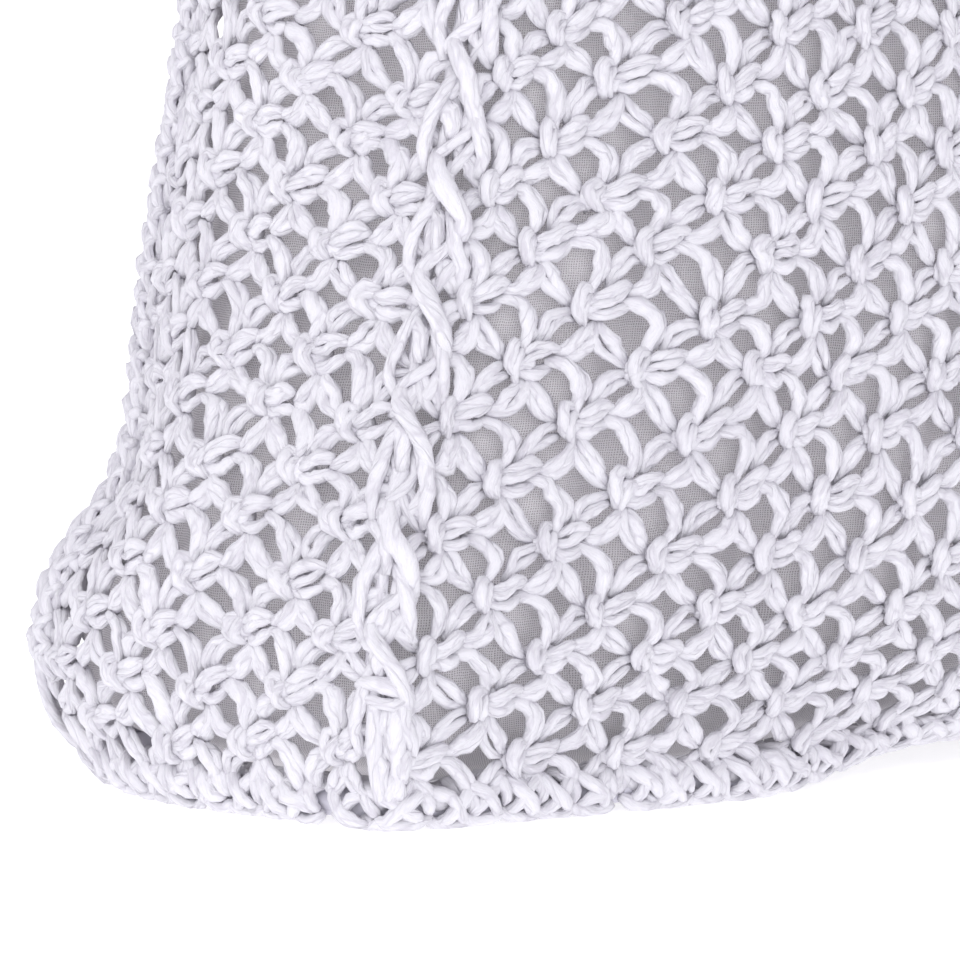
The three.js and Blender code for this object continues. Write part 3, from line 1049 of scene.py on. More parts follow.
@dataclass
class CornerSeams:
    """The four thick slip-stitched corner seams."""

    form: BagForm
    repeat: float = 0.0223
    lowest: float = 0.0335
    highest: float = 0.275
    foot: float = 0.0285
    chain_step: float = 0.0059
    millimetre: float = 0.001

    def build(self, material: bpy.types.Material) -> list[bpy.types.Object]:
        """Builds one piece for each corner.

        Args:
            material: the yarn's finish.

        Returns:
            The pieces.
        """
        nodes = {
            Wall.LEFT: "front_left_seam",
            Wall.FRONT: "front_right_seam",
            Wall.RIGHT: "back_right_seam",
            Wall.BACK: "back_left_seam",
        }
        made = []
        for wall, node in nodes.items():
            pile = YarnPile(np.random.default_rng(SEED + 40 + wall.value))
            detail = Detail.CORD if wall in (Wall.FRONT, Wall.RIGHT) else Detail.NEAR
            patch = CornerPatch(self.form, wall)
            levels = np.arange(self.lowest, self.highest, self.repeat)
            places = np.stack([np.zeros_like(levels), levels], axis=-1)
            mirrored = -1.0 if wall in (Wall.FRONT, Wall.BACK) else 1.0
            size = (self.millimetre * mirrored, self.millimetre)
            at_back = wall in (Wall.RIGHT, Wall.BACK)
            for strand in SEAM_REPEAT[:2] if at_back else SEAM_REPEAT:
                pile.stitch(patch, places, strand, size, self.millimetre, detail, loose=0.6, spread=0.45)
            levels = np.arange(self.foot, self.highest, self.chain_step)
            chain = np.stack([np.zeros_like(levels), levels], axis=-1)
            for strand in SEAM_CHAIN if at_back else ():
                pile.stitch(patch, chain, strand, size, self.millimetre, detail, spread=0.4)
            for strand in SEAM_FOOT:
                foot = np.array([[0.0, self.foot]])
                pile.stitch(patch, foot, strand, size, self.millimetre, detail, loose=0.6, spread=0.2)
            made.append(fit_out(pile.piece(f"{node}_yarn", material), "straw_yarn", node))
        return made


# The base edge's chain: along it in millimetres, round it in radians from straight out, heights in metres.
EDGE_STITCH = (
    Strand(
        ((-5.6, -0.55, 0.0000), (-2.2, -0.88, 0.0010), (2.2, -0.90, 0.0012), (5.4, -0.62, 0.0002)),
        3.2, 0.0027,
    ),
    Strand(
        ((-5.4, 1.35, 0.0000), (-4.4, 0.80, 0.0016), (-1.6, 0.30, 0.0022), (1.2, -0.10, 0.0022),
         (3.0, -0.62, 0.0006)),
        3.3, 0.0029,
    ),
    Strand(
        ((-3.2, -0.70, 0.0002), (-1.4, -0.35, 0.0014), (0.6, 0.25, 0.0018), (3.6, 0.70, 0.0016),
         (6.0, 0.85, 0.0002)),
        3.1, 0.0027,
    ),
    Strand(
        ((-1.0, 1.55, 0.0000), (0.8, 1.10, 0.0014), (3.6, 0.30, 0.0018), (4.4, -0.40, 0.0002)),
        3.0, 0.0026,
    ),
)
# Slanted stitches on the other cords, in the same units.
CORD_STITCH = (
    Strand(
        ((-4.4, -0.60, 0.0000), (-1.5, -0.24, 0.0012), (2.0, 0.18, 0.0013), (5.4, 0.56, 0.0000)),
        3.9, 0.0026,
    ),
    Strand(
        ((-4.2, 0.60, 0.0000), (-1.2, 0.32, 0.0011), (2.0, -0.02, 0.0011), (4.7, -0.46, 0.0000)),
        3.5, 0.0024,
    ),
)


@dataclass
class CordWork:
    """Crocheted cords: the base edge, the rim and the handles."""

    form: BagForm
    stitch_step: float = 0.0072
    edge_step: float = 0.0086
    edge_radius: float = 0.0050
    edge_inset: float = 0.0030
    rim_radius: float = 0.0044
    rim_inset: float = 0.0025
    rim_height: float = 0.010
    corner_cut: float = 0.008
    handle_radius: float = 0.0052
    handle_spread: float = 0.144
    handle_rise: float = 0.098
    handle_leg: float = 0.034
    handle_lean: float = 0.008
    handle_skin: float = 0.006
    handle_steps: int = 161
    clearance: float = 0.0003
    edge_stray: tuple[float, float] = (0.0011, 0.07)
    edge_skin: float = 0.0012
    rim_skin: float = 0.0008
    core_inset: float = 0.0004
    rim_turns: tuple[float, ...] = (-1.0, -0.1, 0.8, 1.7, 2.6, 3.5)
    handle_turns: int = 5
    millimetre: float = 0.001

    def loop_patch(self, z: float, plan_z: float, inset: float, radius: float) -> CordPatch:
        """The skin of a cord that runs round the bag.

        Args:
            z: height of the cord's axis.
            plan_z: height at which the bag's plan is taken.
            inset: how far the axis lies inside it.
            radius: the cord's radius.

        Returns:
            The cord's skin.
        """
        line = self.form.outline(plan_z, inset, self.corner_cut)
        ahead = unit(np.roll(line, -1, axis=0) - np.roll(line, 1, axis=0))
        flat = np.zeros(len(line))
        axis = np.column_stack([line, np.full(len(line), z)])
        outward = np.column_stack([ahead[:, 1], -ahead[:, 0], flat])
        upward = np.column_stack([flat, flat, flat + 1])
        return CordPatch(axis, outward, upward, radius, True)

    def handle_patch(self, side: int) -> CordPatch:
        """The skin of a handle.

        Args:
            side: 1 for the front's, -1 for the back's.

        Returns:
            The handle's skin.
        """
        top = self.form.height
        rim_y, foot_y = (self.leg_y(z) for z in (top, top - self.handle_leg))
        spread, rise, lean = self.handle_spread / 2, self.handle_rise, self.handle_lean
        left = [
            (-spread, foot_y, top - self.handle_leg),
            (-spread * 0.995, rim_y, top + 0.03 * rise),
            (-spread * 0.94, rim_y + 0.4 * lean, top + 0.42 * rise),
            (-spread * 0.62, rim_y + 0.85 * lean, top + 0.83 * rise),
        ]
        right = [(-x, y, z) for x, y, z in reversed(left)]
        route = np.array([*left, (0.0, rim_y + lean, top + rise), *right])
        axis = spline(route[None], self.handle_steps)[0] * (1, -side, 1)
        tangent = unit(np.gradient(axis, axis=0))
        outward = unit(np.cross(tangent, (0.0, 1.0, 0.0)))
        upward = unit(np.cross(outward, tangent))
        return CordPatch(axis, outward, upward, self.handle_radius, False)

    def leg_y(self, z: float) -> float:
        """How far forward a handle's leg stands at a height, clear of the net.

        Args:
            z: the height.

        Returns:
            Its distance along the bag's depth.
        """
        half_length = self.form.base_length / 2 * self.form.column("length", np.array([z]))[0]
        s = 0.5 - self.handle_spread / 2 / (2 * half_length)
        near = self.form.front(np.array([s - 1e-3, s, s + 1e-3]), np.full(3, z))
        ahead = unit(near[2] - near[0])
        return float(near[1][1] - ahead[0] * (self.handle_skin + self.clearance))

    def cover(
        self, pile: YarnPile, patch: CordPatch, turns: tuple[float, ...], detail: Detail
    ) -> None:
        """Covers a cord with columns of slanted stitches, at angles round it, or with the edge's chain.

        Args:
            pile: gathers the strands.
            patch: the cord's skin.
            turns: the columns' angles round the cord, none for the edge's chain.
            detail: fineness of the mesh.
        """
        count = max(3, round(patch.length / (self.stitch_step if turns else self.edge_step)))
        step = patch.length / count
        along = (np.arange(count) + 0.5) * step
        size = (self.millimetre, 1.0)
        if not turns:
            shift, roll = (pile.rng.normal(0, stray, count) for stray in self.edge_stray)
            places = np.stack([along + shift, roll], axis=-1)
            for strand in EDGE_STITCH:
                pile.stitch(patch, places, strand, size, self.millimetre, detail, loose=1.6, spread=0.11)
        for column, angle in enumerate(turns):
            places = np.stack([along + step / 2 * (column % 2), np.full(count, angle)], axis=-1)
            for strand in CORD_STITCH:
                pile.stitch(patch, places, strand, size, self.millimetre, detail, loose=0.5, spread=0.05)

    def core(
        self, name: str, patch: CordPatch, radius: float, material: bpy.types.Material
    ) -> bpy.types.Object:
        """The plain cord under the stitches, a bevelled curve made a mesh.

        Args:
            name: the piece's name.
            patch: the cord's skin.
            radius: the plain cord's radius.
            material: its finish.

        Returns:
            The piece.
        """
        bpy.ops.object.select_all(action="DESELECT")
        bpy.ops.curve.primitive_bezier_curve_add()
        curve = bpy.context.object
        curve.name = name
        curve.data.splines.clear()
        line = curve.data.splines.new("POLY")
        points = patch.axis[:-1] if patch.closed else patch.axis
        line.points.add(len(points) - 1)
        line.points.foreach_set("co", np.column_stack([points, np.ones(len(points))]).reshape(-1))
        line.points.foreach_set("radius", patch.girth(patch.marks[: len(points)]))
        line.use_cyclic_u = patch.closed
        curve.data.bevel_depth = radius
        curve.data.bevel_resolution = 1
        curve.data.use_fill_caps = not patch.closed
        lone(curve)
        bpy.ops.object.convert(target="MESH")
        core = bpy.context.object
        bpy.ops.object.transform_apply()
        bpy.ops.object.shade_smooth()
        core.data.materials.clear()
        core.data.materials.append(material)
        log.info("%s: %d faces", name, len(core.data.polygons))
        return core

    def build(self, material: bpy.types.Material, plain: bpy.types.Material) -> list[bpy.types.Object]:
        """Builds the base edge, the rim and both handles, each a core under stitches.

        Args:
            material: the stitches' finish.
            plain: the cores' finish.

        Returns:
            The pieces.
        """
        top = self.form.height - self.rim_height / 2
        level = self.edge_radius
        edge = self.loop_patch(level, level, self.edge_inset, self.edge_radius - self.edge_skin)
        rim = self.loop_patch(top, top, self.rim_inset, self.rim_radius - self.rim_skin)
        turns = tuple(math.pi / 2 * 0.8 * k for k in range(self.handle_turns))
        works = (
            ("base_edge", edge, (), Detail.NEAR),
            ("rim_band", rim, self.rim_turns, Detail.FAR),
            ("front_handle", self.handle_patch(1), turns, Detail.FAR),
            ("back_handle", self.handle_patch(-1), turns, Detail.FAR),
        )
        made = []
        for index, (name, patch, turns, detail) in enumerate(works):
            pile = YarnPile(np.random.default_rng(SEED + 60 + index))
            self.cover(pile, patch, turns, detail)
            made.append(fit_out(pile.piece(f"{name}_yarn", material), "straw_yarn", name))
            core = self.core(f"{name}_core", patch, patch.radius - self.core_inset, plain)
            made.append(fit_out(core, "straw_yarn", name))
        return made


@dataclass
class BasePatch(Patch):
    """The underside: u counts stars along the bag from the middle, v across it, looking up from below."""

    form: BagForm
    spacing: float = STAR_SPACING
    level: float = 0.0052
    edge: float = 0.0086
    row_share: float = 0.95

    def point(self, u: np.ndarray, v: np.ndarray) -> np.ndarray:
        """Points of the base's middle surface, kept inside its corded edge.

        Args:
            u: star column.
            v: star row.

        Returns:
            Points, shaped (..., 3).
        """
        x = u * self.spacing
        half_length = self.form.base_length / 2 * SECTIONS[0].length - self.edge
        x = squeeze(x, -half_length, half_length)
        share = np.clip(x / self.form.base_length + 0.5, 0, 1)
        reach = -self.form.front(share, np.full_like(share, self.level))[..., 1] - self.edge
        y = squeeze(-v * self.spacing * self.row_share, -reach, reach)
        return np.stack([x, y, np.full_like(x, self.level)], axis=-1)


@dataclass
class BaseNet:
    """The star net of the base, seen from below."""

    form: BagForm
    spacing: float = STAR_SPACING
    end_margin: float = 0.008

    def build(self, material: bpy.types.Material) -> list[bpy.types.Object]:
        """Builds the base's net in one piece.

        Args:
            material: the yarn's finish.

        Returns:
            The one piece, in a list.
        """
        patch = BasePatch(self.form)
        half = self.form.base_length / 2 - self.end_margin
        stars = np.array([
            (u, row / 2)
            for row in range(-5, 6)
            for u in np.arange(-8 + row % 2 / 2, 8.01, 1.0)
            if abs(u * self.spacing) < half
        ])
        pile = YarnPile(np.random.default_rng(SEED + 80))
        for strand in FAR_KNOT + PETALS_RIGHT[1:] + PETALS_LEFT[:3]:
            pile.stitch(patch, stars, strand, (1.0, 1.0), self.spacing, Detail.FAR, loose=0.4)
        piece = pile.piece("base_net", material)
        return [fit_out(piece, "straw_yarn", "base_panel")]


@dataclass
class LiningPouch:
    """The woven lining: a round-bottomed pouch with soft upright folds."""

    form: BagForm
    depth: float = 0.0050
    thickness: float = 0.0012
    floor: float = 0.0070
    bend: float = 0.018
    top_drop: float = 0.002
    corner_cut: float = 0.014
    around: int = 240
    wall_rings: int = 30
    bend_rings: int = 7
    floor_rings: int = 5
    fold_depth: float = 0.0045

    def profile(self) -> np.ndarray:
        """The pouch's profile from the rim down the wall, round the bend and in over the floor.

        Returns:
            Rows of height, depth inside the bag's outer face, and distance run from the rim.
        """
        top = self.form.height - self.top_drop
        bend_top = self.floor + self.bend
        wall = [(z, self.depth) for z in np.linspace(top, bend_top, self.wall_rings)]
        turn = [
            (bend_top - self.bend * math.sin(a), self.depth + self.bend * (1 - math.cos(a)))
            for a in np.linspace(0, math.pi / 2, self.bend_rings + 1)[1:]
        ]
        rows = np.array(wall + turn)
        run = np.concatenate([[0], np.cumsum(np.linalg.norm(np.diff(rows, axis=0), axis=1))])
        return np.column_stack([rows, run])

    def folds(self, around: np.ndarray, z: float) -> np.ndarray:
        """How far the cloth falls inwards along a ring, in metres.

        Args:
            around: angle round the pouch.
            z: the ring's height.

        Returns:
            The depths.
        """
        drop = 1 - z / self.form.height
        wander = 0.25 * np.sin(2.1 * drop * math.pi + 3 * around)
        first = np.sin(9 * around + wander * 3) ** 4
        second = np.sin(23 * around + 2.0 * drop + 1.3) ** 6 * 0.5
        third = np.sin(5 * around - 1.1 * drop + 0.4) ** 2 * 0.5
        ramp = np.clip(drop * 5, 0, 1) * np.clip(z / 0.03, 0.2, 1)
        return self.fold_depth * ramp * (first + second + third) / 1.6

    def build(self, material: bpy.types.Material) -> list[bpy.types.Object]:
        """Builds the pouch from a grid wrapped round the bag and thickened inwards.

        Args:
            material: the cloth's finish.

        Returns:
            The one piece, in a list.
        """
        rows = self.profile()
        total_rows = len(rows) + self.floor_rings
        bpy.ops.object.select_all(action="DESELECT")
        bpy.ops.mesh.primitive_grid_add(x_subdivisions=self.around, y_subdivisions=total_rows - 1, size=2)
        pouch = bpy.context.object
        pouch.name = "lining_pouch"
        mesh = pouch.data
        grid = np.empty(len(mesh.vertices) * 3)
        mesh.vertices.foreach_get("co", grid)
        grid = grid.reshape(-1, 3)
        column = np.rint((grid[:, 0] + 1) / 2 * self.around).astype(int)
        row = np.rint((1 - grid[:, 1]) / 2 * (total_rows - 1)).astype(int)
        rings = self.rings(rows)
        mesh.vertices.foreach_set("co", rings[row, column % self.around].astype(np.float32).reshape(-1))
        self.write_uv(mesh, column, row, rings)
        lone(pouch)
        bpy.ops.object.mode_set(mode="EDIT")
        bpy.ops.mesh.select_all(action="SELECT")
        bpy.ops.mesh.remove_doubles(threshold=1e-5)
        bpy.ops.mesh.normals_make_consistent(inside=False)
        bpy.ops.object.mode_set(mode="OBJECT")
        wall = pouch.modifiers.new("wall", "SOLIDIFY")
        wall.thickness = self.thickness
        wall.offset = -1.0
        bpy.ops.object.modifier_apply(modifier="wall")
        bpy.ops.object.shade_smooth()
        mesh.materials.append(material)
        log.info("lining_pouch: %d faces", len(mesh.polygons))
        return [fit_out(pouch, "lining_cloth", "lining")]

    def rings(self, rows: np.ndarray) -> np.ndarray:
        """The pouch's rings of points, rim first, closing in over the floor to its middle.

        Args:
            rows: the pouch's profile.

        Returns:
            Points, shaped (rings, around, 3).
        """
        made = []
        for z, depth, _ in rows:
            line = self.form.outline(float(z), self.depth, self.corner_cut)
            line = line * (1 - (depth - self.depth) / np.abs(line).max(axis=0))
            steps = np.linalg.norm(np.roll(line, -1, axis=0) - line, axis=1)
            marks = np.concatenate([[0], np.cumsum(steps)])
            closed = np.concatenate([line, line[:1]])
            share = np.arange(self.around) / self.around
            ring = np.stack([np.interp(share * marks[-1], marks, closed[:, k]) for k in range(2)], axis=-1)
            ahead = unit(np.roll(ring, -1, axis=0) - np.roll(ring, 1, axis=0))
            inward = np.stack([-ahead[:, 1], ahead[:, 0]], axis=-1)
            ring = ring + inward * self.folds(2 * math.pi * share, float(z))[:, None]
            made.append(np.column_stack([ring, np.full(self.around, z)]))
        edge = made[-1]
        middle = edge.mean(axis=0)
        for step in range(1, self.floor_rings + 1):
            made.append(edge + (middle - edge) * (step / self.floor_rings))
        return np.array(made)

    def write_uv(self, mesh: bpy.types.Mesh, column: np.ndarray, row: np.ndarray, rings: np.ndarray) -> None:
        """Writes the cloth's own coordinates, in metres, for its weave.

        Args:
            mesh: the pouch's mesh.
            column: each vertex's place round the pouch.
            row: each vertex's ring.
            rings: the pouch's rings of points.
        """
        girth = float(np.linalg.norm(np.diff(rings[len(rings) // 2], axis=0), axis=1).sum())
        steps = np.linalg.norm(np.diff(rings, axis=0), axis=2).mean(axis=1)
        run = np.concatenate([[0], np.cumsum(steps)])
        layer = mesh.uv_layers.active or mesh.uv_layers.new(name="Cloth")
        layer.name = "Cloth"
        corner = np.empty(len(mesh.loops), dtype=np.int32)
        mesh.loops.foreach_get("vertex_index", corner)
        uv = np.column_stack([column[corner] / self.around * girth, -run[row[corner]]])
        layer.data.foreach_set("uv", uv.astype(np.float32).reshape(-1))


class ShaderTree:
    """A thin helper that adds and joins the nodes of a tree."""

    def __init__(self, tree: bpy.types.NodeTree) -> None:
        """Keeps the tree."""
        self.tree = tree

    def add(self, kind: str, inputs: dict | None = None, **settings: object) -> bpy.types.Node:
        """Adds a node, sets its properties, and fills its inputs with values or joins them to sockets.

        Args:
            kind: the node's type.
            inputs: a value or a socket for each named or numbered input.
            settings: the node's properties.

        Returns:
            The node.
        """
        node = self.tree.nodes.new(kind)
        for key, value in settings.items():
            setattr(node, key, value)
        for key, value in (inputs or {}).items():
            if isinstance(value, bpy.types.NodeSocket):
                self.tree.links.new(value, node.inputs[key])
            else:
                node.inputs[key].default_value = value
        return node

    def math(
        self, operation: str, first: object, second: object = 0.0, clamp: bool = False
    ) -> bpy.types.NodeSocket:
        """A Math node's output."""
        node = self.add("ShaderNodeMath", {0: first, 1: second}, operation=operation, use_clamp=clamp)
        return node.outputs[0]

    def times(self, first: object, second: object, clamp: bool = False) -> bpy.types.NodeSocket:
        """The product of two values."""
        return self.math("MULTIPLY", first, second, clamp)

    def plus(self, first: object, second: object, clamp: bool = False) -> bpy.types.NodeSocket:
        """The sum of two values."""
        return self.math("ADD", first, second, clamp)

    def minus(self, first: object, second: object, clamp: bool = False) -> bpy.types.NodeSocket:
        """The difference of two values."""
        return self.math("SUBTRACT", first, second, clamp)

    def noise(
        self, where: bpy.types.NodeSocket, scale: float, detail: float, roughness: float = 0.5
    ) -> bpy.types.NodeSocket:
        """A Noise texture's value."""
        settings = {"Vector": where, "Scale": scale, "Detail": detail, "Roughness": roughness}
        return self.add("ShaderNodeTexNoise", settings).outputs[0]

    def dress(
        self,
        shader: bpy.types.Node,
        colour: bpy.types.NodeSocket,
        height: bpy.types.NodeSocket,
        strength: float,
        relief: float,
        roughness: float,
    ) -> None:
        """Gives a shader its colour, its relief and its roughness.

        Args:
            shader: the Principled shader.
            colour: the colour's socket.
            height: the relief's socket.
            strength: the bump's strength.
            relief: the bump's height in metres.
            roughness: the roughness.
        """
        bump = self.add("ShaderNodeBump", {"Height": height, "Strength": strength, "Distance": relief})
        self.tree.links.new(colour, shader.inputs["Base Color"])
        self.tree.links.new(bump.outputs[0], shader.inputs["Normal"])
        shader.inputs["Roughness"].default_value = roughness

    def mix(self, share: object, first: object, second: object) -> bpy.types.NodeSocket:
        """A colour mix's output.

        Args:
            share: how much of the second colour.
            first: a colour or a socket.
            second: a colour or a socket.

        Returns:
            The mixed colour's socket.
        """
        node = self.add("ShaderNodeMix", {0: share, 6: first, 7: second}, data_type="RGBA")
        return node.outputs[2]


def new_group(
    name: str, inputs: dict[str, tuple[str, object]], outputs: dict[str, str]
) -> bpy.types.NodeTree:
    """An empty shader node group with named sockets.

    Args:
        name: the group's name.
        inputs: each input's kind, Float or Vector or Color, and its default.
        outputs: each output's kind.

    Returns:
        The group's tree, with its Group Input and Group Output nodes.
    """
    group = bpy.data.node_groups.new(name, "ShaderNodeTree")
    for key, (kind, value) in inputs.items():
        socket = group.interface.new_socket(name=key, in_out="INPUT", socket_type=f"NodeSocket{kind}")
        if value is not None:
            socket.default_value = value
    for key, kind in outputs.items():
        group.interface.new_socket(name=key, in_out="OUTPUT", socket_type=f"NodeSocket{kind}")
    group.nodes.new("NodeGroupInput")
    group.nodes.new("NodeGroupOutput")
    return group


def fibre_group() -> bpy.types.NodeTree:
    """Fine fibres and soft creases that run along a strand: outputs Height, and a tone of painted crease
    shade times the fibres' own grain.

    Returns:
        The group.
    """
    group = new_group(
        "YarnFibres",
        {"Strand": ("Vector", None), "Fibres": ("Float", 15.0), "Creases": ("Float", 2.0)},
        {"Height": "Float", "CreaseShadeAndGrain": "Float"},
    )
    tree = ShaderTree(group)
    source, sink = group.nodes["Group Input"], group.nodes["Group Output"]
    parts = tree.add("ShaderNodeSeparateXYZ", {0: source.outputs["Strand"]})
    fibre_step, crease_step, crease_seed = 230.0, 70.0, 7.0
    ridge_gain, fine_weight, valley_weight = 17.0, 1.15, 0.5
    grain_gain, grain_cut = 3.2, 0.70
    fine_x = tree.times(parts.outputs[0], source.outputs["Fibres"])
    fine_y = tree.times(parts.outputs[1], fibre_step)
    fine_at = tree.add("ShaderNodeCombineXYZ", {0: fine_x, 1: fine_y})
    fine = tree.noise(fine_at.outputs[0], 1.7, 5.0, 0.68)
    crease_x = tree.times(parts.outputs[0], source.outputs["Creases"])
    crease_y = tree.times(parts.outputs[1], crease_step)
    crease_at = tree.add("ShaderNodeCombineXYZ", {0: crease_x, 1: crease_y, 2: crease_seed})
    crease = tree.noise(crease_at.outputs[0], 1.9, 1.5)
    ridge = tree.math("ABSOLUTE", tree.minus(crease, 0.5))
    # Near a crease line the valley falls to 0: it deepens the bump there and paints shade into the crease.
    valley = tree.times(ridge, ridge_gain, clamp=True)
    height = tree.plus(tree.times(fine, fine_weight), tree.times(valley, valley_weight))
    grain = tree.minus(tree.times(fine, grain_gain), grain_cut, clamp=True)
    group.links.new(height, sink.inputs["Height"])
    # The tone is painted shade along the crease lines times the fibres' own grain streaks.
    group.links.new(tree.times(valley, grain), sink.inputs["CreaseShadeAndGrain"])
    return group


def weave_group() -> bpy.types.NodeTree:
    """A plain weave: outputs Height, Hole and Streak.

    Returns:
        The group.
    """
    group = new_group(
        "PlainWeave",
        {"Cloth": ("Vector", None), "Threads": ("Float", 2400.0)},
        {"Height": "Float", "Hole": "Float", "Streak": "Float"},
    )
    tree = ShaderTree(group)
    source, sink = group.nodes["Group Input"], group.nodes["Group Output"]
    cloth, threads = source.outputs["Cloth"], source.outputs["Threads"]
    jitter_scale, jitter_reach, hole_gain, streak_gain = 300.0, 1.7, 2.3, 2.6
    fine_streak, long_streak = 900.0, 60.0
    shift = tree.times(tree.minus(tree.noise(cloth, jitter_scale, 2.0), 0.5), jitter_reach)
    parts = tree.add("ShaderNodeSeparateXYZ", {0: cloth})
    across = tree.plus(tree.times(parts.outputs[0], threads), shift)
    along = tree.plus(tree.times(parts.outputs[1], threads), shift)
    warp = tree.math("ABSOLUTE", tree.math("SINE", tree.times(across, math.pi)))
    weft = tree.math("ABSOLUTE", tree.math("SINE", tree.times(along, math.pi)))
    over = tree.math("PINGPONG", tree.plus(tree.math("FLOOR", across), tree.math("FLOOR", along)), 1.0)
    under = tree.minus(1.0, over)
    height = tree.plus(tree.times(warp, over), tree.times(weft, under))
    gap = tree.times(tree.minus(1.0, warp), tree.minus(1.0, weft))
    hole = tree.times(gap, hole_gain, clamp=True)
    slub_at = tree.add("ShaderNodeMapping", {0: cloth, "Scale": (fine_streak, long_streak, 1.0)})
    slub = tree.noise(slub_at.outputs[0], 1.0, 2.0)
    pick_at = tree.add("ShaderNodeMapping", {0: cloth, "Scale": (long_streak, fine_streak, 1.0)})
    pick = tree.noise(pick_at.outputs[0], 1.0, 2.0)
    mean = tree.minus(tree.plus(tree.times(slub, over), tree.times(pick, under)), 0.5)
    streak = tree.plus(tree.times(mean, streak_gain), 0.5, clamp=True)
    group.links.new(height, sink.inputs["Height"])
    group.links.new(hole, sink.inputs["Hole"])
    group.links.new(streak, sink.inputs["Streak"])
    return group


def new_material(name: str) -> tuple[bpy.types.Material, ShaderTree, bpy.types.Node]:
    """A material with only a Principled shader and its output.

    Args:
        name: the material's name.

    Returns:
        The material, its tree and its shader node.
    """
    material = bpy.data.materials.new(name)
    material.use_nodes = True
    material.node_tree.nodes.clear()
    tree = ShaderTree(material.node_tree)
    shader = tree.add("ShaderNodeBsdfPrincipled")
    tree.add("ShaderNodeOutputMaterial", {"Surface": shader.outputs[0]})
    return material, tree, shader


@dataclass(frozen=True)
class StrawFinish:
    """White paper straw: faintly violet, softly glossy, with fibres along each strand and painted shade in
    its creases.
    """

    light: Colour = (0.885, 0.875, 0.92, 1.0)
    # shade is painted shade for the creases, and also the darker tone of the fibre grain and patches.
    shade: Colour = (0.74, 0.72, 0.78, 1.0)
    roughness: float = 0.5
    strength: float = 0.62
    relief: float = 0.0009
    patch_scale: float = 45.0
    sheen: float = 0.35

    def build(self) -> bpy.types.Material:
        """Makes the material.

        Returns:
            The material.
        """
        material, tree, shader = new_material("white_straw")
        strand = tree.add("ShaderNodeUVMap", uv_map="Strand")
        fibres = tree.add("ShaderNodeGroup", {}, node_tree=fibre_group())
        tree.tree.links.new(strand.outputs[0], fibres.inputs["Strand"])
        where = tree.add("ShaderNodeTexCoord")
        patchy = tree.noise(where.outputs["Object"], self.patch_scale, 2.0)
        # Painted shade: the shade colour goes in along the crease lines; the fibre grain and patchy tone
        # also mix it in.
        crease_shade_and_grain = tree.times(fibres.outputs["CreaseShadeAndGrain"], tree.plus(patchy, 0.5), clamp=True)
        colour = tree.mix(crease_shade_and_grain, self.shade, self.light)
        tree.dress(shader, colour, fibres.outputs["Height"], self.strength, self.relief, self.roughness)
        shader.inputs["Specular IOR Level"].default_value = self.sheen
        return material


@dataclass(frozen=True)
class CoreFinish:
    """The straw of the plain cords under the stitches, without a strand map, painted darker than the
    stitches' straw as shade under them.
    """

    # Both tones are painted shade: darker than the stitches' straw, for the cord lying under them; grain
    # mixes the two.
    light: Colour = (0.72, 0.71, 0.78, 1.0)
    shade: Colour = (0.64, 0.625, 0.70, 1.0)
    roughness: float = 0.6
    strength: float = 0.4
    relief: float = 0.0004
    grain_scale: float = 700.0

    def build(self) -> bpy.types.Material:
        """Makes the material.

        Returns:
            The material.
        """
        material, tree, shader = new_material("white_straw_core")
        where = tree.add("ShaderNodeTexCoord")
        grain = tree.noise(where.outputs["Object"], self.grain_scale, 3.0)
        colour = tree.mix(grain, self.shade, self.light)
        tree.dress(shader, colour, grain, self.strength, self.relief, self.roughness)
        return material


@dataclass(frozen=True)
class LiningFinish:
    """Grey-beige plain-woven lining cloth, with a faint painted glow standing in for light coming through
    the thin cloth.
    """

    thread: Colour = (0.93, 0.90, 0.935, 1.0)
    pale: Colour = (1.0, 0.99, 1.0, 1.0)
    # gap is painted shade: the dark put in the weave's holes.
    gap: Colour = (0.44, 0.40, 0.43, 1.0)
    painted_glow_colour: Colour = (1.0, 0.98, 1.0, 1.0)
    threads_per_metre: float = 2050.0
    # glow is painted light: a faint emission, though the cloth is no lamp.
    glow: float = 0.06
    strength: float = 0.5
    relief: float = 0.00012
    roughness: float = 0.85
    sheen: float = 0.2

    def build(self) -> bpy.types.Material:
        """Makes the material.

        Returns:
            The material.
        """
        material, tree, shader = new_material("woven_lining")
        cloth = tree.add("ShaderNodeUVMap", uv_map="Cloth")
        weave = tree.add("ShaderNodeGroup", {}, node_tree=weave_group())
        weave.inputs["Threads"].default_value = self.threads_per_metre
        tree.tree.links.new(cloth.outputs[0], weave.inputs["Cloth"])
        threads = tree.mix(weave.outputs["Streak"], self.thread, self.pale)
        # The holes between threads are real; the dark colour put in them is painted shade.
        colour = tree.mix(weave.outputs["Hole"], threads, self.gap)
        height = weave.outputs["Height"]
        tree.dress(shader, colour, height, self.strength, self.relief, self.roughness)
        # Painted light: the cloth glows faintly, standing in for light through it.
        shader.inputs["Emission Color"].default_value = self.painted_glow_colour
        shader.inputs["Emission Strength"].default_value = self.glow
        shader.inputs["Specular IOR Level"].default_value = self.sheen
        return material


@dataclass(frozen=True)
class FloorFinish:
    """A plain white floor that stays white under the bag."""

    colour: Colour = (0.95, 0.95, 0.955, 1.0)
    glow: float = 0.54

    def build(self) -> bpy.types.Material:
        """Makes the material.

        Returns:
            The material.
        """
        material, _, shader = new_material("pale_floor")
        shader.inputs["Base Color"].default_value = self.colour
        shader.inputs["Roughness"].default_value = 0.9
        shader.inputs["Specular IOR Level"].default_value = 0.0
        shader.inputs["Emission Color"].default_value = (1.0, 1.0, 1.0, 1.0)
        shader.inputs["Emission Strength"].default_value = self.glow
        return material


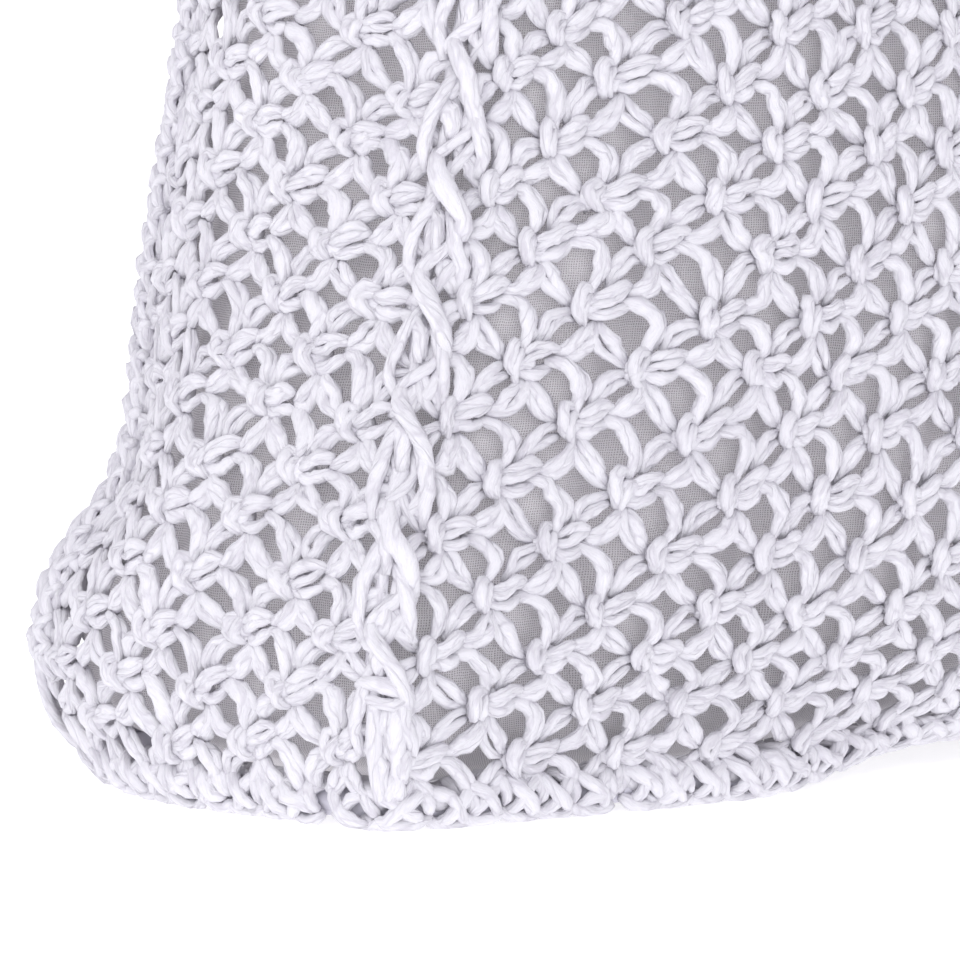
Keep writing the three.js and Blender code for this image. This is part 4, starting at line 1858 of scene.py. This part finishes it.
@dataclass
class Studio:
    """The floor, the lights and the camera."""

    azimuth: float = -41.0
    elevation: float = 5.6
    distance: float = 1.5
    pixels_per_metre: float = 4600.0
    aim_right: float = -0.0885
    aim_up: float = 0.053
    sensor: float = 36.0
    sky: Colour = (0.945, 0.93, 1.0, 1.0)
    sky_strength: float = 0.73

    def directions(self) -> tuple[Vector, Vector, Vector]:
        """The camera's backward, right and up directions.

        Returns:
            The three unit vectors.
        """
        a, e = math.radians(self.azimuth), math.radians(self.elevation)
        back = Vector((math.sin(a) * math.cos(e), -math.cos(a) * math.cos(e), math.sin(e)))
        right = Vector((math.cos(a), math.sin(a), 0.0))
        return back, right, back.cross(right)

    def build(self) -> None:
        """Builds everything round the bag."""
        self.place_camera()
        self.lay_floor()
        self.hang_lights()

    def place_camera(self) -> None:
        """Sets the camera at the photograph's angle and frame."""
        back, right, up = self.directions()
        aim = right * self.aim_right + up * self.aim_up
        bpy.ops.object.camera_add(location=aim + back * self.distance)
        camera = bpy.context.object
        camera.rotation_euler = (-back).to_track_quat("-Z", "Y").to_euler()
        camera.data.sensor_width = self.sensor
        camera.data.lens = self.pixels_per_metre * self.distance / IMAGE_SIDE * self.sensor
        camera.data.clip_start = 0.05
        camera.data.clip_end = 100.0
        bpy.context.scene.camera = camera

    def lay_floor(self) -> None:
        """Lays the floor."""
        bpy.ops.object.select_all(action="DESELECT")
        bpy.ops.mesh.primitive_plane_add(size=40.0, location=(0.0, 0.0, 0.0))
        floor = bpy.context.object
        floor.name = "pale_floor"
        floor.data.materials.append(FloorFinish().build())

    def hang_lights(self) -> None:
        """Hangs one broad soft light over a bright even sky."""
        back, right, up = self.directions()
        spot = back * 1.2 - right * 1.1 + Vector((0.0, 0.0, 1.7))
        bpy.ops.object.light_add(type="AREA", location=spot)
        lamp = bpy.context.object
        lamp.rotation_euler = (Vector((0, 0, 0.12)) - spot).to_track_quat("-Z", "Y").to_euler()
        lamp.data.size = 1.4
        lamp.data.energy = 12.0
        lamp.data.color = (1.0, 0.995, 0.985)
        bpy.ops.object.light_add(type="AREA", location=back * 2.2 + up * 0.35)
        fill = bpy.context.object
        fill.rotation_euler = (-fill.location).to_track_quat("-Z", "Y").to_euler()
        fill.data.size = 1.6
        fill.data.energy = 12.0
        world = bpy.data.worlds.new("studio")
        world.use_nodes = True
        sky = world.node_tree.nodes["Background"]
        sky.inputs[0].default_value = self.sky
        sky.inputs[1].default_value = self.sky_strength
        scene = bpy.context.scene
        scene.world = world
        scene.view_settings.view_transform = "Standard"
        scene.view_settings.look = "None"


def walls(form: BagForm) -> list[NetWall]:
    """The four net walls, finest where the photograph looks closely.

    Args:
        form: the body's form.

    Returns:
        The walls.
    """
    rngs = [np.random.default_rng(SEED + step) for step in range(1, len(Wall) + 1)]
    return [
        NetWall(
            form, Wall.FRONT, 16.0, 0.5, near_columns=(0.0, 6.6), near_rows=16, splits=(3.2, 8.0),
            name="front_net", node="front_panel", rng=rngs[0],
        ),
        NetWall(
            form, Wall.LEFT, 4.5, 0.0, near_columns=(0.0, 4.6), near_rows=16, fullness=1.12,
            name="left_net", node="left_gusset", rng=rngs[1],
        ),
        NetWall(
            form, Wall.BACK, 16.0, 0.5, splits=(8.2,), name="back_net", node="back_panel", rng=rngs[2],
        ),
        NetWall(
            form, Wall.RIGHT, 4.5, 0.5, fullness=1.12, name="right_net", node="right_gusset", rng=rngs[3],
        ),
    ]


def main() -> None:
    """Builds the pieces in order and reports each."""
    logging.basicConfig(level=logging.INFO, format="%(name)s: %(message)s")
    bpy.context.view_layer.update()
    form = BagForm()
    straw = StrawFinish().build()
    made: list[bpy.types.Object] = []
    for wall in walls(form):
        made += wall.build(straw)
    made += CornerSeams(form).build(straw)
    cords = CordWork(form)
    made += cords.build(straw, CoreFinish().build())
    made += BaseNet(form).build(straw)
    made += LiningPouch(form).build(LiningFinish().build())
    Studio().build()
    slump = Slump()
    for piece in made:
        slump.settle(piece.data)
    log.info("%d pieces made", len(made))


if __name__ == "__main__":
    main()
